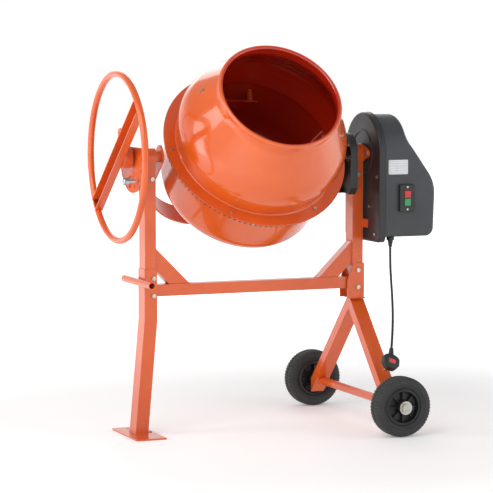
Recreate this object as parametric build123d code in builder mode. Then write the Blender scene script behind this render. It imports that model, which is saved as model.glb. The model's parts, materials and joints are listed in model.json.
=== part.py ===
"""Electric concrete mixer with a tilting drum on a two-wheeled stand.

Millimetres, +Z up. The origin is on the ground under the middle of the machine:
X runs from the tilting handwheel (-X) to the motor housing (+X), Y runs across
the track of the wheels, and the drum's mouth leans towards -Y.
"""
import math
import os

from build123d import *

os.makedirs("parts", exist_ok=True)

# ---------------------------------------------------------------- driving sizes
# Stand
PIVOT_Z = 830.0            # height of the tilting axis
DRUM_TO_LEFT = 334.0       # drum centre to the left upright's centre line
DRUM_TO_RIGHT = 343.0      # drum centre to the right upright's centre line
UPRIGHT_X = 35.0           # upright tube, across
UPRIGHT_Y = 50.0           # upright tube, fore and aft
TUBE_WALL = 2.5            # wall of the square tubes
POST_TOP = 785.0           # where both bearing blocks are seated
UPRIGHT_FOOT = 400.0       # lower end of both uprights
BEAM_TOP = 450.0           # top face of the cross beam
BEAM_H = 35.0
BEAM_Y = 40.0
BRACE_REACH = 110.0        # where a brace's upper edge meets upright and beam
BRACE_DEPTH = 46.0         # width of the brace across its 45 degree run
BRACE_Y = 36.0
LEG_WALL = 2.0
LEG_GAP = 0.5              # leg sleeve around the upright
LEG_TOP = 498.0
LEG_BEND = 345.0           # below here the left leg leans outwards
LEG_OUT = 30.0             # how far the foot stands outside the upright
FOOT_X = 95.0
FOOT_Y = 225.0
FOOT_T = 5.0
LIFT_BAR_D = 21.0
LIFT_BAR_L = 244.0
LIFT_BAR_Z = 458.0
# Wheels
TRACK = 705.0              # over the outer faces of the tyres
TYRE_R = 90.0
TYRE_W = 60.0
HUB_R = 56.0               # wheel hub inside the tyre
AXLE_R = 10.0
AXLE_TUBE_R = 13.0
WHEEL_LEG_X = 45.0         # wheel leg tube, across
WHEEL_LEG_T = 30.0         # wheel leg tube, in the plane of the splay
WHEEL_LEG_TOP = 384.0
WHEEL_LEG_APEX = 373.0     # where the legs' centre lines meet under the upright
WHEEL_LEG_FOOT_Y = 264.0   # where a leg's centre line reaches the axle
WHEEL_SIDE_GAP = 1.0       # washer to wheel hub
# Tilting yoke and handwheel
TILT = 51.0                # lean of the drum axis at rest, degrees
YOKE_ARM_X = 295.0         # drum centre to the middle of a yoke arm
YOKE_T = 6.0
YOKE_W = 60.0
YOKE_DROP = 325.0          # pivot to the yoke's cross member, along the drum axis
YOKE_BEND = 235.0
PIVOT_TUBE_R = 17.0        # left trunnion
TRUNNION_R = 21.0          # right trunnion, bored for the pinion shaft
WHEEL_OUT = 94.0           # left upright centre line to the handwheel plane
RIM_R = 246.0              # handwheel rim, centre line
RIM_TUBE_R = 10.0
SPOKE_W = 44.0
SPOKE_DEPTH = 24.0
SPOKE_T = 3.0
WHEEL_HUB_R = 33.0
INDEX_R = 106.0            # index plate, outer radius
INDEX_PIN_R = 88.0         # lock pin circle
INDEX_T = 5.0
INDEX_STEP = 25.0          # angle between lock holes, degrees
LOCK_PIN_R = 5.0
# Drum
SHEET = 2.0                # drum sheet
FLANGE_R = 285.0
SEAM_H = 33.0              # joint face of the bowl's flange, above the pivot
GASKET_T = 1.0
BOWL_TOP_R = 255.0
BOWL_LOW_R = 250.0
BOWL_KNEE = -146.0
BOWL_FLOOR = -197.0
BOWL_FLOOR_R = 172.0
CONE_FOOT_R = 244.0
CONE_SHOULDER_R = 264.0
CONE_SHOULDER_H = 136.0
NECK_R = 177.0
NECK_H = 262.0
MOUTH_H = 293.0            # mouth plane above the pivot
LIP_OUT_R = 190.0
LIP_WIRE_R = 7.0
SHAFT_R = 15.0             # drum shaft
BEARING_R = 31.0
BEARING_W = 16.0
YOKE_HUB_R = 38.0
YOKE_HUB_H = 92.0
# Gear pair: one apex, on the crossing of the drum axis and the pivot axis
RING_TEETH = 108
PINION_TEETH = 9
GEAR_R = 270.0             # middle of the tooth face
GEAR_FACE = 20.0
RING_BACK = 3.3            # ring body behind the tooth roots
BOWL_CORNER = 4.0          # outer corner radius between the bowl and its flange
# Drive housing
COVER_OUT = 222.0          # right upright centre line to the cover's outer side
PAN_GAP = 7.5              # upright's outer face to the pan
PAN_R = 125.0              # pan, round its top
PAN_DEPTH = 22.0
PAN_FOOT = 560.0
COVER_R = 118.0
COVER_FOOT = 576.0
COVER_EDGE_R = 14.0        # rounding of the cover's edges
COVER_NECK = 80.0          # depth of the cover over the pulley, before it widens for the motor
COVER_NECK_Z = 872.0       # where the cover starts to widen
COVER_BELLY_Z = 742.0      # where it has its full depth
COVER_TOP_BEND = 6.0
COVER_NECK_BEND = 60.0
COVER_BELLY_BEND = 110.0
COVER_FOOT_BEND = 26.0
COVER_FOOT_LEAN = 6.0
PLASTIC = 3.0
PULLEY_R = 105.0
MOTOR_PULLEY_R = 20.0
BELT_T = 4.0
BELT_W = 12.0
MOTOR_DROP = 175.0         # pivot to motor axis
MOTOR_R = 52.0
# Power lead
CORD_R = 3.75
CORD_ROUTE = ((418, -100, 545), (418, -100, 492), (416, -112, 440), (409, -135, 390),
              (397, -164, 341), (381, -195, 292), (366, -219, 250))

# Clearances
RUN = 0.05                 # radial clearance of a turning fit
SLIP = 0.4                 # radial clearance of a bolt in its hole
MOVE = 0.5                 # gap between faces that pass each other

# Fasteners
BOLT_R = 4.0
BOLT_HEAD_R = 7.0
BOLT_HEAD_H = 5.0

# Stand details
FRAME_BOLT_Z = (470.0, 418.0)
EXTRA_BOLT_Z = 765.0
BOLT_INSET = 9.0           # left leg bolts stand towards the beam
FOOT_HOLE_R = 5.0
# Wheel end details
HEAD_T = 3.0
HEAD_TOP = 492.0
WHEEL_LEG_END_Y = 281.0
AXLE_TUBE_Y = 284.0
TYRE_BEAD_SHARE = 0.175    # of the rubber's depth: the chamfer at the bead
TYRE_WALL_SHARE = 0.29     # where the flat sidewall starts
TYRE_BEND_SHARE = 0.235    # rounding of the shoulders
WASHER_T = 2.5
WASHER_R = 20.0
NUT_T = 9.0
BOSS_R = 19.0
WEB_HALF = 7.0
# Pivot bearing details
BLOCK_X = 42.0
BLOCK_R = 26.0
BUSH_T = 3.0
NIPPLE_R = 3.0
NIPPLE_SEAT = 5.0
PLATE_T = 5.0
PLATE_BOLT_Y = 51.5
# Yoke and handwheel details
INDEX_GAP = 7.0
YOKE_HEAD = 30.0
PINION_SHAFT_R = 10.0
HUB_BOLT_R = 25.0
LOCK_ARM_T = 12.0
INDEX_STEPS = (-2, -1, 0, 1, 2, 3)
INDEX_BOLTS = ((17.0, 768.0), (-17.0, 768.0))
LOCK_TRAVEL = INDEX_GAP + INDEX_T
GUARD_R = 62.0
GUARD_FOOT = 705.0
GUARD_GAP = 4.0
# Drum details
SEAM_BOLT_R = 266.0
SEAM_BOLT_SHANK = 3.0
SEAM_BOLTS = 6
BASE_BOLT_R = 85.0
BASE_BOLTS = 6
BASE_R = 110.0
BASE_T = 6.0
SEAM_HEAD_R = 5.5
BLADE_TURNS = (157.0, 337.0)
BLADE_SWEEP = 80.0
BLADE_HIGH = 205.0
BLADE_LOW = 0.0
BLADE_INSET = 60.0
BLADE_W = 44.0
BLADE_T = 5.0
FOOT_BOSS_R = 9.0
FOOT_BOLT_DEPTH = 14.0
# Housing details
STANDOFF_Y = 44.0
STANDOFF_Z = (-42.0, 14.0)  # about the motor axis, clear of the belt
PAN_SCREWS = ((-60.0, 668.0), (-100.0, 585.0), (100.0, 585.0), (-108.0, 760.0), (108.0, 760.0))
PAN_SCREW_R = 2.0
SWITCH_Z = 695.0
GLAND_NECK_R = 8.0
SWITCH_D = 12.0
BUTTON_W = 20.0
BUTTON_H = 22.0
# Drive details
MOTOR_SHAFT_R = 7.0
# Plug
RELIEF_L = 24.0
PLUG_W = 54.0
PLUG_T = 24.0
PLUG_L = 48.0

# ---------------------------------------------------------------- derived places
DRUM_X = (DRUM_TO_LEFT + WHEEL_OUT + RIM_TUBE_R - DRUM_TO_RIGHT - COVER_OUT) / 2
LEFT_X = DRUM_X - DRUM_TO_LEFT
RIGHT_X = DRUM_X + DRUM_TO_RIGHT
WHEEL_X = RIGHT_X + 3.0
HANDWHEEL_X = LEFT_X - WHEEL_OUT
PIVOT = Vector(DRUM_X, 0, PIVOT_Z)
SIN_T = math.sin(math.radians(TILT))
COS_T = math.cos(math.radians(TILT))
DRUM_DIR = Vector(0, -SIN_T, COS_T)
SIDE_DIR = Vector(0, COS_T, SIN_T)
DRUM_AXIS = Axis(PIVOT, DRUM_DIR)
TILT_AXIS = Axis(PIVOT, (1, 0, 0))
DRUM_PLANE = Plane(origin=PIVOT, x_dir=(1, 0, 0), z_dir=DRUM_DIR)
PROFILE = Plane(origin=PIVOT, x_dir=(1, 0, 0), z_dir=-SIDE_DIR)   # local x = radius, y = height
BEAM_LOW = BEAM_TOP - BEAM_H
PAN_X = RIGHT_X + UPRIGHT_X / 2 + PAN_GAP
COVER_X = RIGHT_X + COVER_OUT
PULLEY_X = PAN_X + 12.0
MOTOR_Z = PIVOT_Z - MOTOR_DROP
WHEEL_MID_Y = (TRACK - TYRE_W) / 2
LEG_X = UPRIGHT_X + 2 * (LEG_WALL + LEG_GAP)
LEG_Y = UPRIGHT_Y + 2 * (LEG_WALL + LEG_GAP)
HUB_BOSS_HALF = WHEEL_MID_Y - AXLE_TUBE_Y - WASHER_T - WHEEL_SIDE_GAP
AXLE_END_Y = WHEEL_MID_Y + HUB_BOSS_HALF + WHEEL_SIDE_GAP + WASHER_T + NUT_T
INDEX_X = LEFT_X - UPRIGHT_X / 2 - 26.0     # inner face of the index plate
WHEEL_HUB_X = INDEX_X - INDEX_T - INDEX_GAP  # inner face of the handwheel hub
SEAM_GRIP = 2 * SHEET + GASKET_T
PINION_R = GEAR_R * PINION_TEETH / RING_TEETH
MODULE = 2 * PINION_R / PINION_TEETH
ADDENDUM = 0.8 * MODULE
DEDENDUM = 1.05 * MODULE
TOOTH_HALF = 0.205 * math.pi * MODULE       # half tooth at the pitch line, with backlash
FLANK = math.tan(math.radians(20.0))
SWITCH_X = RIGHT_X + 118.0
GLAND_X = DRUM_X + CORD_ROUTE[0][0]
GLAND_Y = CORD_ROUTE[0][1]


def cross_plane(x):
    """Plane square to X at x, local x = world Y, local y = world Z."""
    return Plane(origin=(x, 0, 0), x_dir=(0, 1, 0), z_dir=(1, 0, 0))


def side_plane(y):
    """Plane square to Y at y, local x = world X, local y = world Z, facing -Y."""
    return Plane(origin=(0, y, 0), x_dir=(1, 0, 0), z_dir=(0, -1, 0))


def pivot_plane(x):
    """Plane square to the tilting axis at x: local x = drum direction, local y = world side."""
    return Plane(origin=(x, 0, PIVOT_Z), x_dir=DRUM_DIR, z_dir=(1, 0, 0))


def save(part, label):
    """Label a finished piece and write its STEP file."""
    part.label = label
    export_step(part, f"parts/{label}.step")


def tube_x(x0, x1, outer, inner, y=0.0, z=PIVOT_Z):
    """Round tube or ring along X between x0 and x1; inner 0 makes a solid rod."""
    with BuildPart() as tube:
        with BuildSketch(cross_plane(x0)):
            with Locations((y, z)):
                Circle(outer)
                if inner:
                    Circle(inner, mode=Mode.SUBTRACT)
        extrude(amount=x1 - x0)
    return tube.part


def tube_y(y0, y1, outer, inner, x, z):
    """Round tube or ring along Y between y0 and y1."""
    with BuildPart() as tube:
        with BuildSketch(Plane(origin=(x, y0, z), x_dir=(1, 0, 0), z_dir=(0, 1, 0))):
            Circle(outer)
            if inner:
                Circle(inner, mode=Mode.SUBTRACT)
        extrude(amount=y1 - y0)
    return tube.part


def tube_h(h0, h1, outer, inner):
    """Round tube or ring along the drum axis between heights h0 and h1."""
    with BuildPart() as tube:
        with BuildSketch(DRUM_PLANE.offset(h0)):
            Circle(outer)
            if inner:
                Circle(inner, mode=Mode.SUBTRACT)
        extrude(amount=h1 - h0)
    return tube.part


def hex_bolt(place, shank, head_r=BOLT_HEAD_R, shank_r=BOLT_R):
    """Hexagon bolt whose head sits on the plane `place` and whose shank runs behind it."""
    with BuildPart() as bolt:
        with BuildSketch(place):
            RegularPolygon(head_r, 6)
        extrude(amount=BOLT_HEAD_H)
        with BuildSketch(place):
            Circle(shank_r)
        extrude(amount=-shank)
    return bolt.part


# ---------------------------------------------------------------- stand
def box_tube(plane, width, depth, length, wall):
    """Rectangular tube rising from the plane."""
    with BuildPart() as tube:
        with BuildSketch(plane):
            Rectangle(width, depth)
            Rectangle(width - 2 * wall, depth - 2 * wall, mode=Mode.SUBTRACT)
        extrude(amount=length)
    return tube.part


def make_uprights():
    """The two posts, drilled for the leg bolts and the right trunnion."""
    with BuildPart() as left_upright:
        add(box_tube(Plane((LEFT_X, 0, UPRIGHT_FOOT)), UPRIGHT_X, UPRIGHT_Y,
                     POST_TOP - UPRIGHT_FOOT, TUBE_WALL))
        with BuildSketch(side_plane(UPRIGHT_Y)):
            with Locations(*[(LEFT_X + BOLT_INSET, z) for z in FRAME_BOLT_Z]):
                Circle(BOLT_R + SLIP)
        extrude(amount=2 * UPRIGHT_Y, mode=Mode.SUBTRACT)
    save(left_upright.part, "left_upright")

    with BuildPart() as right_upright:
        add(box_tube(Plane((RIGHT_X, 0, UPRIGHT_FOOT)), UPRIGHT_X, UPRIGHT_Y,
                     POST_TOP - UPRIGHT_FOOT, TUBE_WALL))
        with BuildSketch(side_plane(UPRIGHT_Y)):
            with Locations(*[(RIGHT_X, z) for z in FRAME_BOLT_Z]):
                Circle(BOLT_R + SLIP)
        extrude(amount=2 * UPRIGHT_Y, mode=Mode.SUBTRACT)
    save(right_upright.part, "right_upright")


def make_beam_and_braces():
    """The cross beam between the posts and its two 45 degree braces."""
    left_face = LEFT_X + UPRIGHT_X / 2
    right_face = RIGHT_X - UPRIGHT_X / 2
    with BuildPart() as cross_beam:
        with BuildSketch(cross_plane(left_face)):
            with Locations((0, BEAM_TOP - BEAM_H / 2)):
                Rectangle(BEAM_Y, BEAM_H)
                Rectangle(BEAM_Y - 2 * TUBE_WALL, BEAM_H - 2 * TUBE_WALL, mode=Mode.SUBTRACT)
        extrude(amount=right_face - left_face)
    save(cross_beam.part, "cross_beam")

    low = BRACE_REACH - BRACE_DEPTH * math.sqrt(2)
    braces = []
    for face, way in ((left_face, 1), (right_face, -1)):
        with BuildPart() as brace:
            with BuildSketch(side_plane(BRACE_Y / 2)):
                Polygon((face, BEAM_TOP + BRACE_REACH), (face + way * BRACE_REACH, BEAM_TOP),
                        (face + way * low, BEAM_TOP), (face, BEAM_TOP + low), align=None)
            extrude(amount=BRACE_Y)
            wall = TUBE_WALL * math.sqrt(2)
            with BuildSketch(side_plane(BRACE_Y / 2 - TUBE_WALL)):
                Polygon((face, BEAM_TOP + BRACE_REACH - wall), (face + way * (BRACE_REACH - wall), BEAM_TOP),
                        (face + way * (low + wall), BEAM_TOP), (face, BEAM_TOP + low + wall), align=None)
            extrude(amount=BRACE_Y - 2 * TUBE_WALL, mode=Mode.SUBTRACT)
        braces.append(brace.part)
    save(Compound(children=braces), "beam_braces")


def leg_outline(half, top, foot):
    """Side outline of the bent left leg, half wide each side of its centre line."""
    lean = LEG_OUT / (LEG_BEND - FOOT_T)
    foot_x = LEFT_X - lean * (LEG_BEND - foot)
    return [(LEFT_X - half, top), (LEFT_X - half, LEG_BEND), (foot_x - half, foot),
            (foot_x + half, foot), (LEFT_X + half, LEG_BEND), (LEFT_X + half, top)]


def make_left_leg():
    """Bent leg tube that sleeves over the left post, its foot plate and the lifting bar."""
    with BuildPart() as left_leg:
        with BuildSketch(side_plane(LEG_Y / 2)):
            Polygon(*leg_outline(LEG_X / 2, LEG_TOP, FOOT_T), align=None)
        extrude(amount=LEG_Y)
        with BuildSketch(side_plane(LEG_Y / 2 - LEG_WALL)):
            Polygon(*leg_outline(LEG_X / 2 - LEG_WALL, LEG_TOP, FOOT_T), align=None)
        extrude(amount=LEG_Y - 2 * LEG_WALL, mode=Mode.SUBTRACT)
        # slot for the beam and the brace, and the bolt holes
        slot_low = BEAM_LOW - 2 * LEG_GAP
        with BuildSketch(cross_plane(LEFT_X)):
            with Locations((0, (LEG_TOP + slot_low) / 2)):
                Rectangle(BEAM_Y + 2 * LEG_GAP, LEG_TOP - slot_low)
        extrude(amount=LEG_X, mode=Mode.SUBTRACT)
        with BuildSketch(side_plane(LEG_Y)):
            with Locations(*[(LEFT_X + BOLT_INSET, z) for z in FRAME_BOLT_Z]):
                Circle(BOLT_R + SLIP)
        extrude(amount=2 * LEG_Y, mode=Mode.SUBTRACT)
    save(left_leg.part, "left_leg")

    foot_mid = LEFT_X - LEG_OUT
    with BuildPart() as foot_plate:
        with BuildSketch(Plane.XY):
            with Locations((foot_mid, 0)):
                Rectangle(FOOT_X, FOOT_Y)
            with Locations((foot_mid + FOOT_X / 2, 0)):
                SlotOverall(44, 30, mode=Mode.SUBTRACT)
            with Locations((foot_mid - 6, -FOOT_Y / 2 + 28), (foot_mid - 6, FOOT_Y / 2 - 28)):
                Circle(FOOT_HOLE_R, mode=Mode.SUBTRACT)
        extrude(amount=FOOT_T)
        fillet(foot_plate.edges().filter_by(Axis.Z).group_by(Axis.X)[0], radius=8)
    save(foot_plate.part, "foot_plate")

    bar_x = LEFT_X - LEG_X / 2 - LIFT_BAR_D / 2
    bar_r = LIFT_BAR_D / 2
    save(tube_y(-LIFT_BAR_L / 2, LIFT_BAR_L / 2, bar_r, bar_r - 2, bar_x, LIFT_BAR_Z), "lift_bar")


# ---------------------------------------------------------------- wheel end
def make_wheel_legs():
    """Bracket round the right post, two splayed legs and the axle tube between them."""
    inner_y = UPRIGHT_Y / 2 + LEG_GAP
    outer_y = inner_y + HEAD_T
    web_x = RIGHT_X + UPRIGHT_X / 2 + LEG_GAP
    with BuildPart() as wheel_leg_head:
        with BuildSketch(side_plane(outer_y)):
            Polygon((RIGHT_X - UPRIGHT_X / 2 + 2, HEAD_TOP), (web_x + HEAD_T, HEAD_TOP),
                    (web_x + HEAD_T, WHEEL_LEG_TOP), (RIGHT_X - UPRIGHT_X / 2 - 18, WHEEL_LEG_TOP),
                    (RIGHT_X - UPRIGHT_X / 2 - 18, HEAD_TOP - 54), align=None)
        extrude(amount=2 * outer_y)
        with BuildSketch(side_plane(inner_y)):
            with Locations((web_x - 100, (HEAD_TOP + WHEEL_LEG_TOP) / 2)):
                Rectangle(200, 400)
        extrude(amount=2 * inner_y, mode=Mode.SUBTRACT)
        with BuildSketch(side_plane(UPRIGHT_Y)):
            with Locations(*[(RIGHT_X, z) for z in FRAME_BOLT_Z]):
                Circle(BOLT_R + SLIP)
        extrude(amount=2 * UPRIGHT_Y, mode=Mode.SUBTRACT)
    save(wheel_leg_head.part, "wheel_leg_head")

    slope = (WHEEL_LEG_APEX - TYRE_R) / WHEEL_LEG_FOOT_Y
    legs = []
    for way in (-1, 1):
        with BuildPart() as leg:
            for extra, mode in ((0.0, Mode.ADD), (LEG_WALL, Mode.SUBTRACT)):
                rise = (WHEEL_LEG_T / 2 - extra) * math.sqrt(1 + slope * slope)
                top_y = max((WHEEL_LEG_APEX + rise - WHEEL_LEG_TOP) / slope, 0.0)
                end = WHEEL_LEG_END_Y
                with BuildSketch(cross_plane(WHEEL_X - WHEEL_LEG_X / 2 + extra)):
                    Polygon((0, WHEEL_LEG_TOP), (way * top_y, WHEEL_LEG_TOP),
                            (way * end, WHEEL_LEG_APEX + rise - slope * end),
                            (way * end, WHEEL_LEG_APEX - rise - slope * end),
                            (0, WHEEL_LEG_APEX - rise), align=None)
                extrude(amount=WHEEL_LEG_X - 2 * extra, mode=mode)
            add(tube_y(-TRACK / 2, TRACK / 2, AXLE_TUBE_R, 0, WHEEL_X, TYRE_R), mode=Mode.SUBTRACT)
        legs.append(leg.part.solids().sort_by(SortBy.VOLUME)[-1])
    save(Compound(children=legs), "wheel_legs")

    save(tube_y(-AXLE_TUBE_Y, AXLE_TUBE_Y, AXLE_TUBE_R, AXLE_R + RUN, WHEEL_X, TYRE_R), "axle_tube")
    save(tube_y(-AXLE_END_Y, AXLE_END_Y, AXLE_R, 0, WHEEL_X, TYRE_R), "wheel_axle")


def make_axle_fasteners():
    """Inner and outer washers and the end nuts of the axle."""
    out_face = WHEEL_MID_Y + HUB_BOSS_HALF + WHEEL_SIDE_GAP
    pieces = []
    for way in (-1, 1):
        for y in (AXLE_TUBE_Y, out_face):
            pieces.append(tube_y(way * y, way * (y + WASHER_T), WASHER_R, AXLE_R + RUN, WHEEL_X, TYRE_R))
        with BuildPart() as nut:
            start = way * (out_face + WASHER_T)
            with BuildSketch(Plane(origin=(WHEEL_X, start, TYRE_R), x_dir=(1, 0, 0), z_dir=(0, way, 0))):
                RegularPolygon(15, 6)
                Circle(AXLE_R + RUN, mode=Mode.SUBTRACT)
            extrude(amount=NUT_T)
        pieces.append(nut.part)
    save(Compound(children=pieces), "axle_fasteners")


def make_wheel(label, way):
    """One wheel: a treaded tyre on a dished hub with a boss for the axle."""
    mid = way * WHEEL_MID_Y
    turn = Plane(origin=(WHEEL_X, mid, TYRE_R), x_dir=(1, 0, 0), z_dir=(0, 0, 1))  # y = world Y
    spin = Axis((WHEEL_X, mid, TYRE_R), (0, 1, 0))
    half = TYRE_W / 2
    bead = TYRE_BEAD_SHARE * (TYRE_R - HUB_R)
    wall = TYRE_WALL_SHARE * (TYRE_R - HUB_R)
    bend = TYRE_BEND_SHARE * (TYRE_R - HUB_R)
    with BuildPart() as tyre:
        with BuildSketch(turn):
            with BuildLine():
                FilletPolyline((HUB_R, -half + bead), (HUB_R + wall, -half), (TYRE_R - bead, -half),
                               (TYRE_R, -half + 16), (TYRE_R, half - 16), (TYRE_R - bead, half),
                               (HUB_R + wall, half), (HUB_R, half - bead), close=True,
                               radius=[2, bead, bend, bend, bend, bend, bead, 2])
            make_face()
        revolve(axis=spin)
    save(tyre.part, f"{label}_tyre")

    boss = HUB_BOSS_HALF
    with BuildPart() as hub:
        with BuildSketch(turn):
            with BuildLine():
                Polyline((AXLE_R + RUN, -boss), (BOSS_R, -boss), (BOSS_R + 2, -WEB_HALF),
                         (HUB_R - 12, -WEB_HALF), (HUB_R - 8, -half + 5), (HUB_R - RUN, -half + 7),
                         (HUB_R - RUN, half - 7), (HUB_R - 8, half - 5), (HUB_R - 12, WEB_HALF),
                         (BOSS_R + 2, WEB_HALF), (BOSS_R, boss), (AXLE_R + RUN, boss), close=True)
            make_face()
        revolve(axis=spin)
    save(hub.part, f"{label}_hub")


# ---------------------------------------------------------------- pivot bearings
def bearing_block(post_x, inner, outer, bore):
    """Round bearing block with a saddle that stands on the top of a post."""
    with BuildPart() as block:
        with BuildSketch(cross_plane(inner)):
            with Locations((0, PIVOT_Z)):
                Circle(BLOCK_R)
                Circle(bore, mode=Mode.SUBTRACT)
        extrude(amount=outer - inner)
        with BuildSketch(Plane.XY.offset(POST_TOP)):
            with Locations((post_x, 0)):
                Rectangle(UPRIGHT_X, UPRIGHT_Y)
        extrude(amount=PIVOT_Z - POST_TOP)
        with BuildSketch(cross_plane(inner - 1)):
            with Locations((0, PIVOT_Z)):
                Circle(bore)
        extrude(amount=outer - inner + 2, mode=Mode.SUBTRACT)
    return block.part


def make_bearings():
    """Bushed bearing blocks of the two posts; the right one ends in a diamond flange."""
    left_in = LEFT_X + BLOCK_X / 2
    left_out = LEFT_X - BLOCK_X / 2
    with BuildPart() as left_block:
        add(bearing_block(LEFT_X, left_out, left_in, PIVOT_TUBE_R + BUSH_T))
        with BuildSketch(Plane.XY.offset(PIVOT_Z + BLOCK_R + 1)):
            with Locations((LEFT_X, 0)):
                Circle(NIPPLE_R)
        extrude(amount=-NIPPLE_SEAT - 1, mode=Mode.SUBTRACT)
    save(left_block.part, "left_bearing_block")

    with BuildPart() as nipple:
        with BuildSketch(Plane.XY.offset(PIVOT_Z + BLOCK_R - NIPPLE_SEAT)):
            with Locations((LEFT_X, 0)):
                Circle(NIPPLE_R)
        extrude(amount=NIPPLE_SEAT + 4)
        with BuildSketch(Plane.XY.offset(PIVOT_Z + BLOCK_R + 4)):
            with Locations((LEFT_X, 0)):
                Circle(NIPPLE_R - 1)
        extrude(amount=5, taper=12)
    save(nipple.part, "grease_nipple")

    right_in = RIGHT_X - BLOCK_X / 2
    right_out = RIGHT_X + UPRIGHT_X / 2
    with BuildPart() as right_block:
        add(bearing_block(RIGHT_X, right_in, right_out, TRUNNION_R + BUSH_T))
        with BuildSketch(cross_plane(right_out)):
            with Locations((0, PIVOT_Z)):
                Circle(BLOCK_R + 4)
            with Locations((-PLATE_BOLT_Y, PIVOT_Z), (PLATE_BOLT_Y, PIVOT_Z)):
                Circle(12)
            make_hull()
            with Locations((0, PIVOT_Z)):
                Circle(TRUNNION_R + BUSH_T, mode=Mode.SUBTRACT)
            with Locations((-PLATE_BOLT_Y, PIVOT_Z), (PLATE_BOLT_Y, PIVOT_Z)):
                Circle(BOLT_R + SLIP, mode=Mode.SUBTRACT)
        extrude(amount=PLATE_T)
    save(right_block.part, "right_bearing_block")

    bushes = [tube_x(left_out, left_in, PIVOT_TUBE_R + BUSH_T, PIVOT_TUBE_R + RUN),
              tube_x(right_in, right_out + PLATE_T, TRUNNION_R + BUSH_T, TRUNNION_R + RUN)]
    save(Compound(children=bushes), "pivot_bushes")


def make_frame_bolts():
    """Leg bolts through both posts and the long bolts of the right bearing."""
    pieces = []
    for x, y in ((LEFT_X + BOLT_INSET, LEG_Y / 2), (RIGHT_X, UPRIGHT_Y / 2 + LEG_GAP + HEAD_T)):
        for z in FRAME_BOLT_Z:
            place = Plane(origin=(x, -y, z), x_dir=(1, 0, 0), z_dir=(0, -1, 0))
            pieces.append(hex_bolt(place, 2 * y))
            with BuildPart() as nut:
                with BuildSketch(Plane(origin=(x, y, z), x_dir=(1, 0, 0), z_dir=(0, 1, 0))):
                    RegularPolygon(BOLT_HEAD_R, 6)
                extrude(amount=BOLT_HEAD_H)
            pieces.append(nut.part)
    flange_face = RIGHT_X + UPRIGHT_X / 2
    pan_inside = PAN_X + PLASTIC
    for y in (-PLATE_BOLT_Y, PLATE_BOLT_Y):
        place = Plane(origin=(flange_face, y, PIVOT_Z), x_dir=(0, 1, 0), z_dir=(-1, 0, 0))
        pieces.append(hex_bolt(place, pan_inside - flange_face))
        with BuildPart() as nut:
            with BuildSketch(Plane(origin=(pan_inside, y, PIVOT_Z), x_dir=(0, 1, 0), z_dir=(1, 0, 0))):
                RegularPolygon(BOLT_HEAD_R, 6)
            extrude(amount=BOLT_HEAD_H)
        pieces.append(nut.part)
    for x, z in ((LEFT_X + 6, EXTRA_BOLT_Z), (RIGHT_X, EXTRA_BOLT_Z)):
        place = Plane(origin=(x, -UPRIGHT_Y / 2, z), x_dir=(1, 0, 0), z_dir=(0, -1, 0))
        with BuildPart() as stud:
            with BuildSketch(place):
                RegularPolygon(BOLT_HEAD_R, 6)
            extrude(amount=BOLT_HEAD_H)
        pieces.append(stud.part)
    for y, z in INDEX_BOLTS:
        place = Plane(origin=(INDEX_X - INDEX_T, y, z), x_dir=(0, 1, 0), z_dir=(-1, 0, 0))
        pieces.append(hex_bolt(place, INDEX_T, head_r=5.0))
        pieces.append(tube_x(INDEX_X, LEFT_X - UPRIGHT_X / 2, 9, 0, y, z))
    save(Compound(children=pieces), "frame_bolts")


# ---------------------------------------------------------------- yoke and handwheel


def make_yoke():
    """Bent strap, its two trunnions and the hub that carries the drum's bearings."""
    with BuildPart() as yoke_arm:
        with BuildSketch(PROFILE.offset(-YOKE_W / 2)):
            with BuildLine():
                FilletPolyline((-YOKE_ARM_X - YOKE_T / 2, YOKE_HEAD), (-YOKE_ARM_X - YOKE_T / 2, -YOKE_DROP),
                               (YOKE_ARM_X + YOKE_T / 2, -YOKE_DROP), (YOKE_ARM_X + YOKE_T / 2, YOKE_HEAD),
                               radius=YOKE_BEND)
                offset(amount=YOKE_T, side=Side.LEFT)
            make_face()
        extrude(amount=YOKE_W)
        with BuildSketch(cross_plane(LEFT_X)):
            with Locations((0, PIVOT_Z)):
                Circle(PIVOT_TUBE_R)
        extrude(amount=DRUM_TO_LEFT, mode=Mode.SUBTRACT)
        with BuildSketch(cross_plane(DRUM_X)):
            with Locations((0, PIVOT_Z)):
                Circle(TRUNNION_R)
        extrude(amount=DRUM_TO_RIGHT, mode=Mode.SUBTRACT)
        with BuildSketch(DRUM_PLANE.offset(-YOKE_DROP - YOKE_T)):
            Circle(SHAFT_R + 2)
        extrude(amount=3 * YOKE_T, mode=Mode.SUBTRACT)
        fillet(yoke_arm.edges().filter_by(Axis.X).group_by(SortBy.LENGTH)[0], radius=18)
    save(yoke_arm.part, "yoke_arm")

    arm_out = YOKE_ARM_X + YOKE_T / 2
    left_end = HANDWHEEL_X + SPOKE_DEPTH - SPOKE_T
    save(tube_x(left_end, DRUM_X - YOKE_ARM_X + 9, PIVOT_TUBE_R, PIVOT_TUBE_R - 4), "left_pivot_tube")
    save(tube_x(DRUM_X + arm_out - YOKE_T - 3, PAN_X + PLASTIC + 1, TRUNNION_R, PINION_SHAFT_R + RUN),
         "right_pivot_tube")

    base = -YOKE_DROP + YOKE_T
    with BuildPart() as yoke_hub:
        add(tube_h(base, base + YOKE_HUB_H, YOKE_HUB_R, BEARING_R))
        add(tube_h(base + BEARING_W, base + YOKE_HUB_H - BEARING_W, YOKE_HUB_R, BEARING_R - 4))
    save(yoke_hub.part, "yoke_hub")
    bearings = [tube_h(h, h + BEARING_W, BEARING_R, SHAFT_R + RUN)
                for h in (base, base + YOKE_HUB_H - BEARING_W)]
    save(Compound(children=bearings), "drum_bearings")


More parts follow.
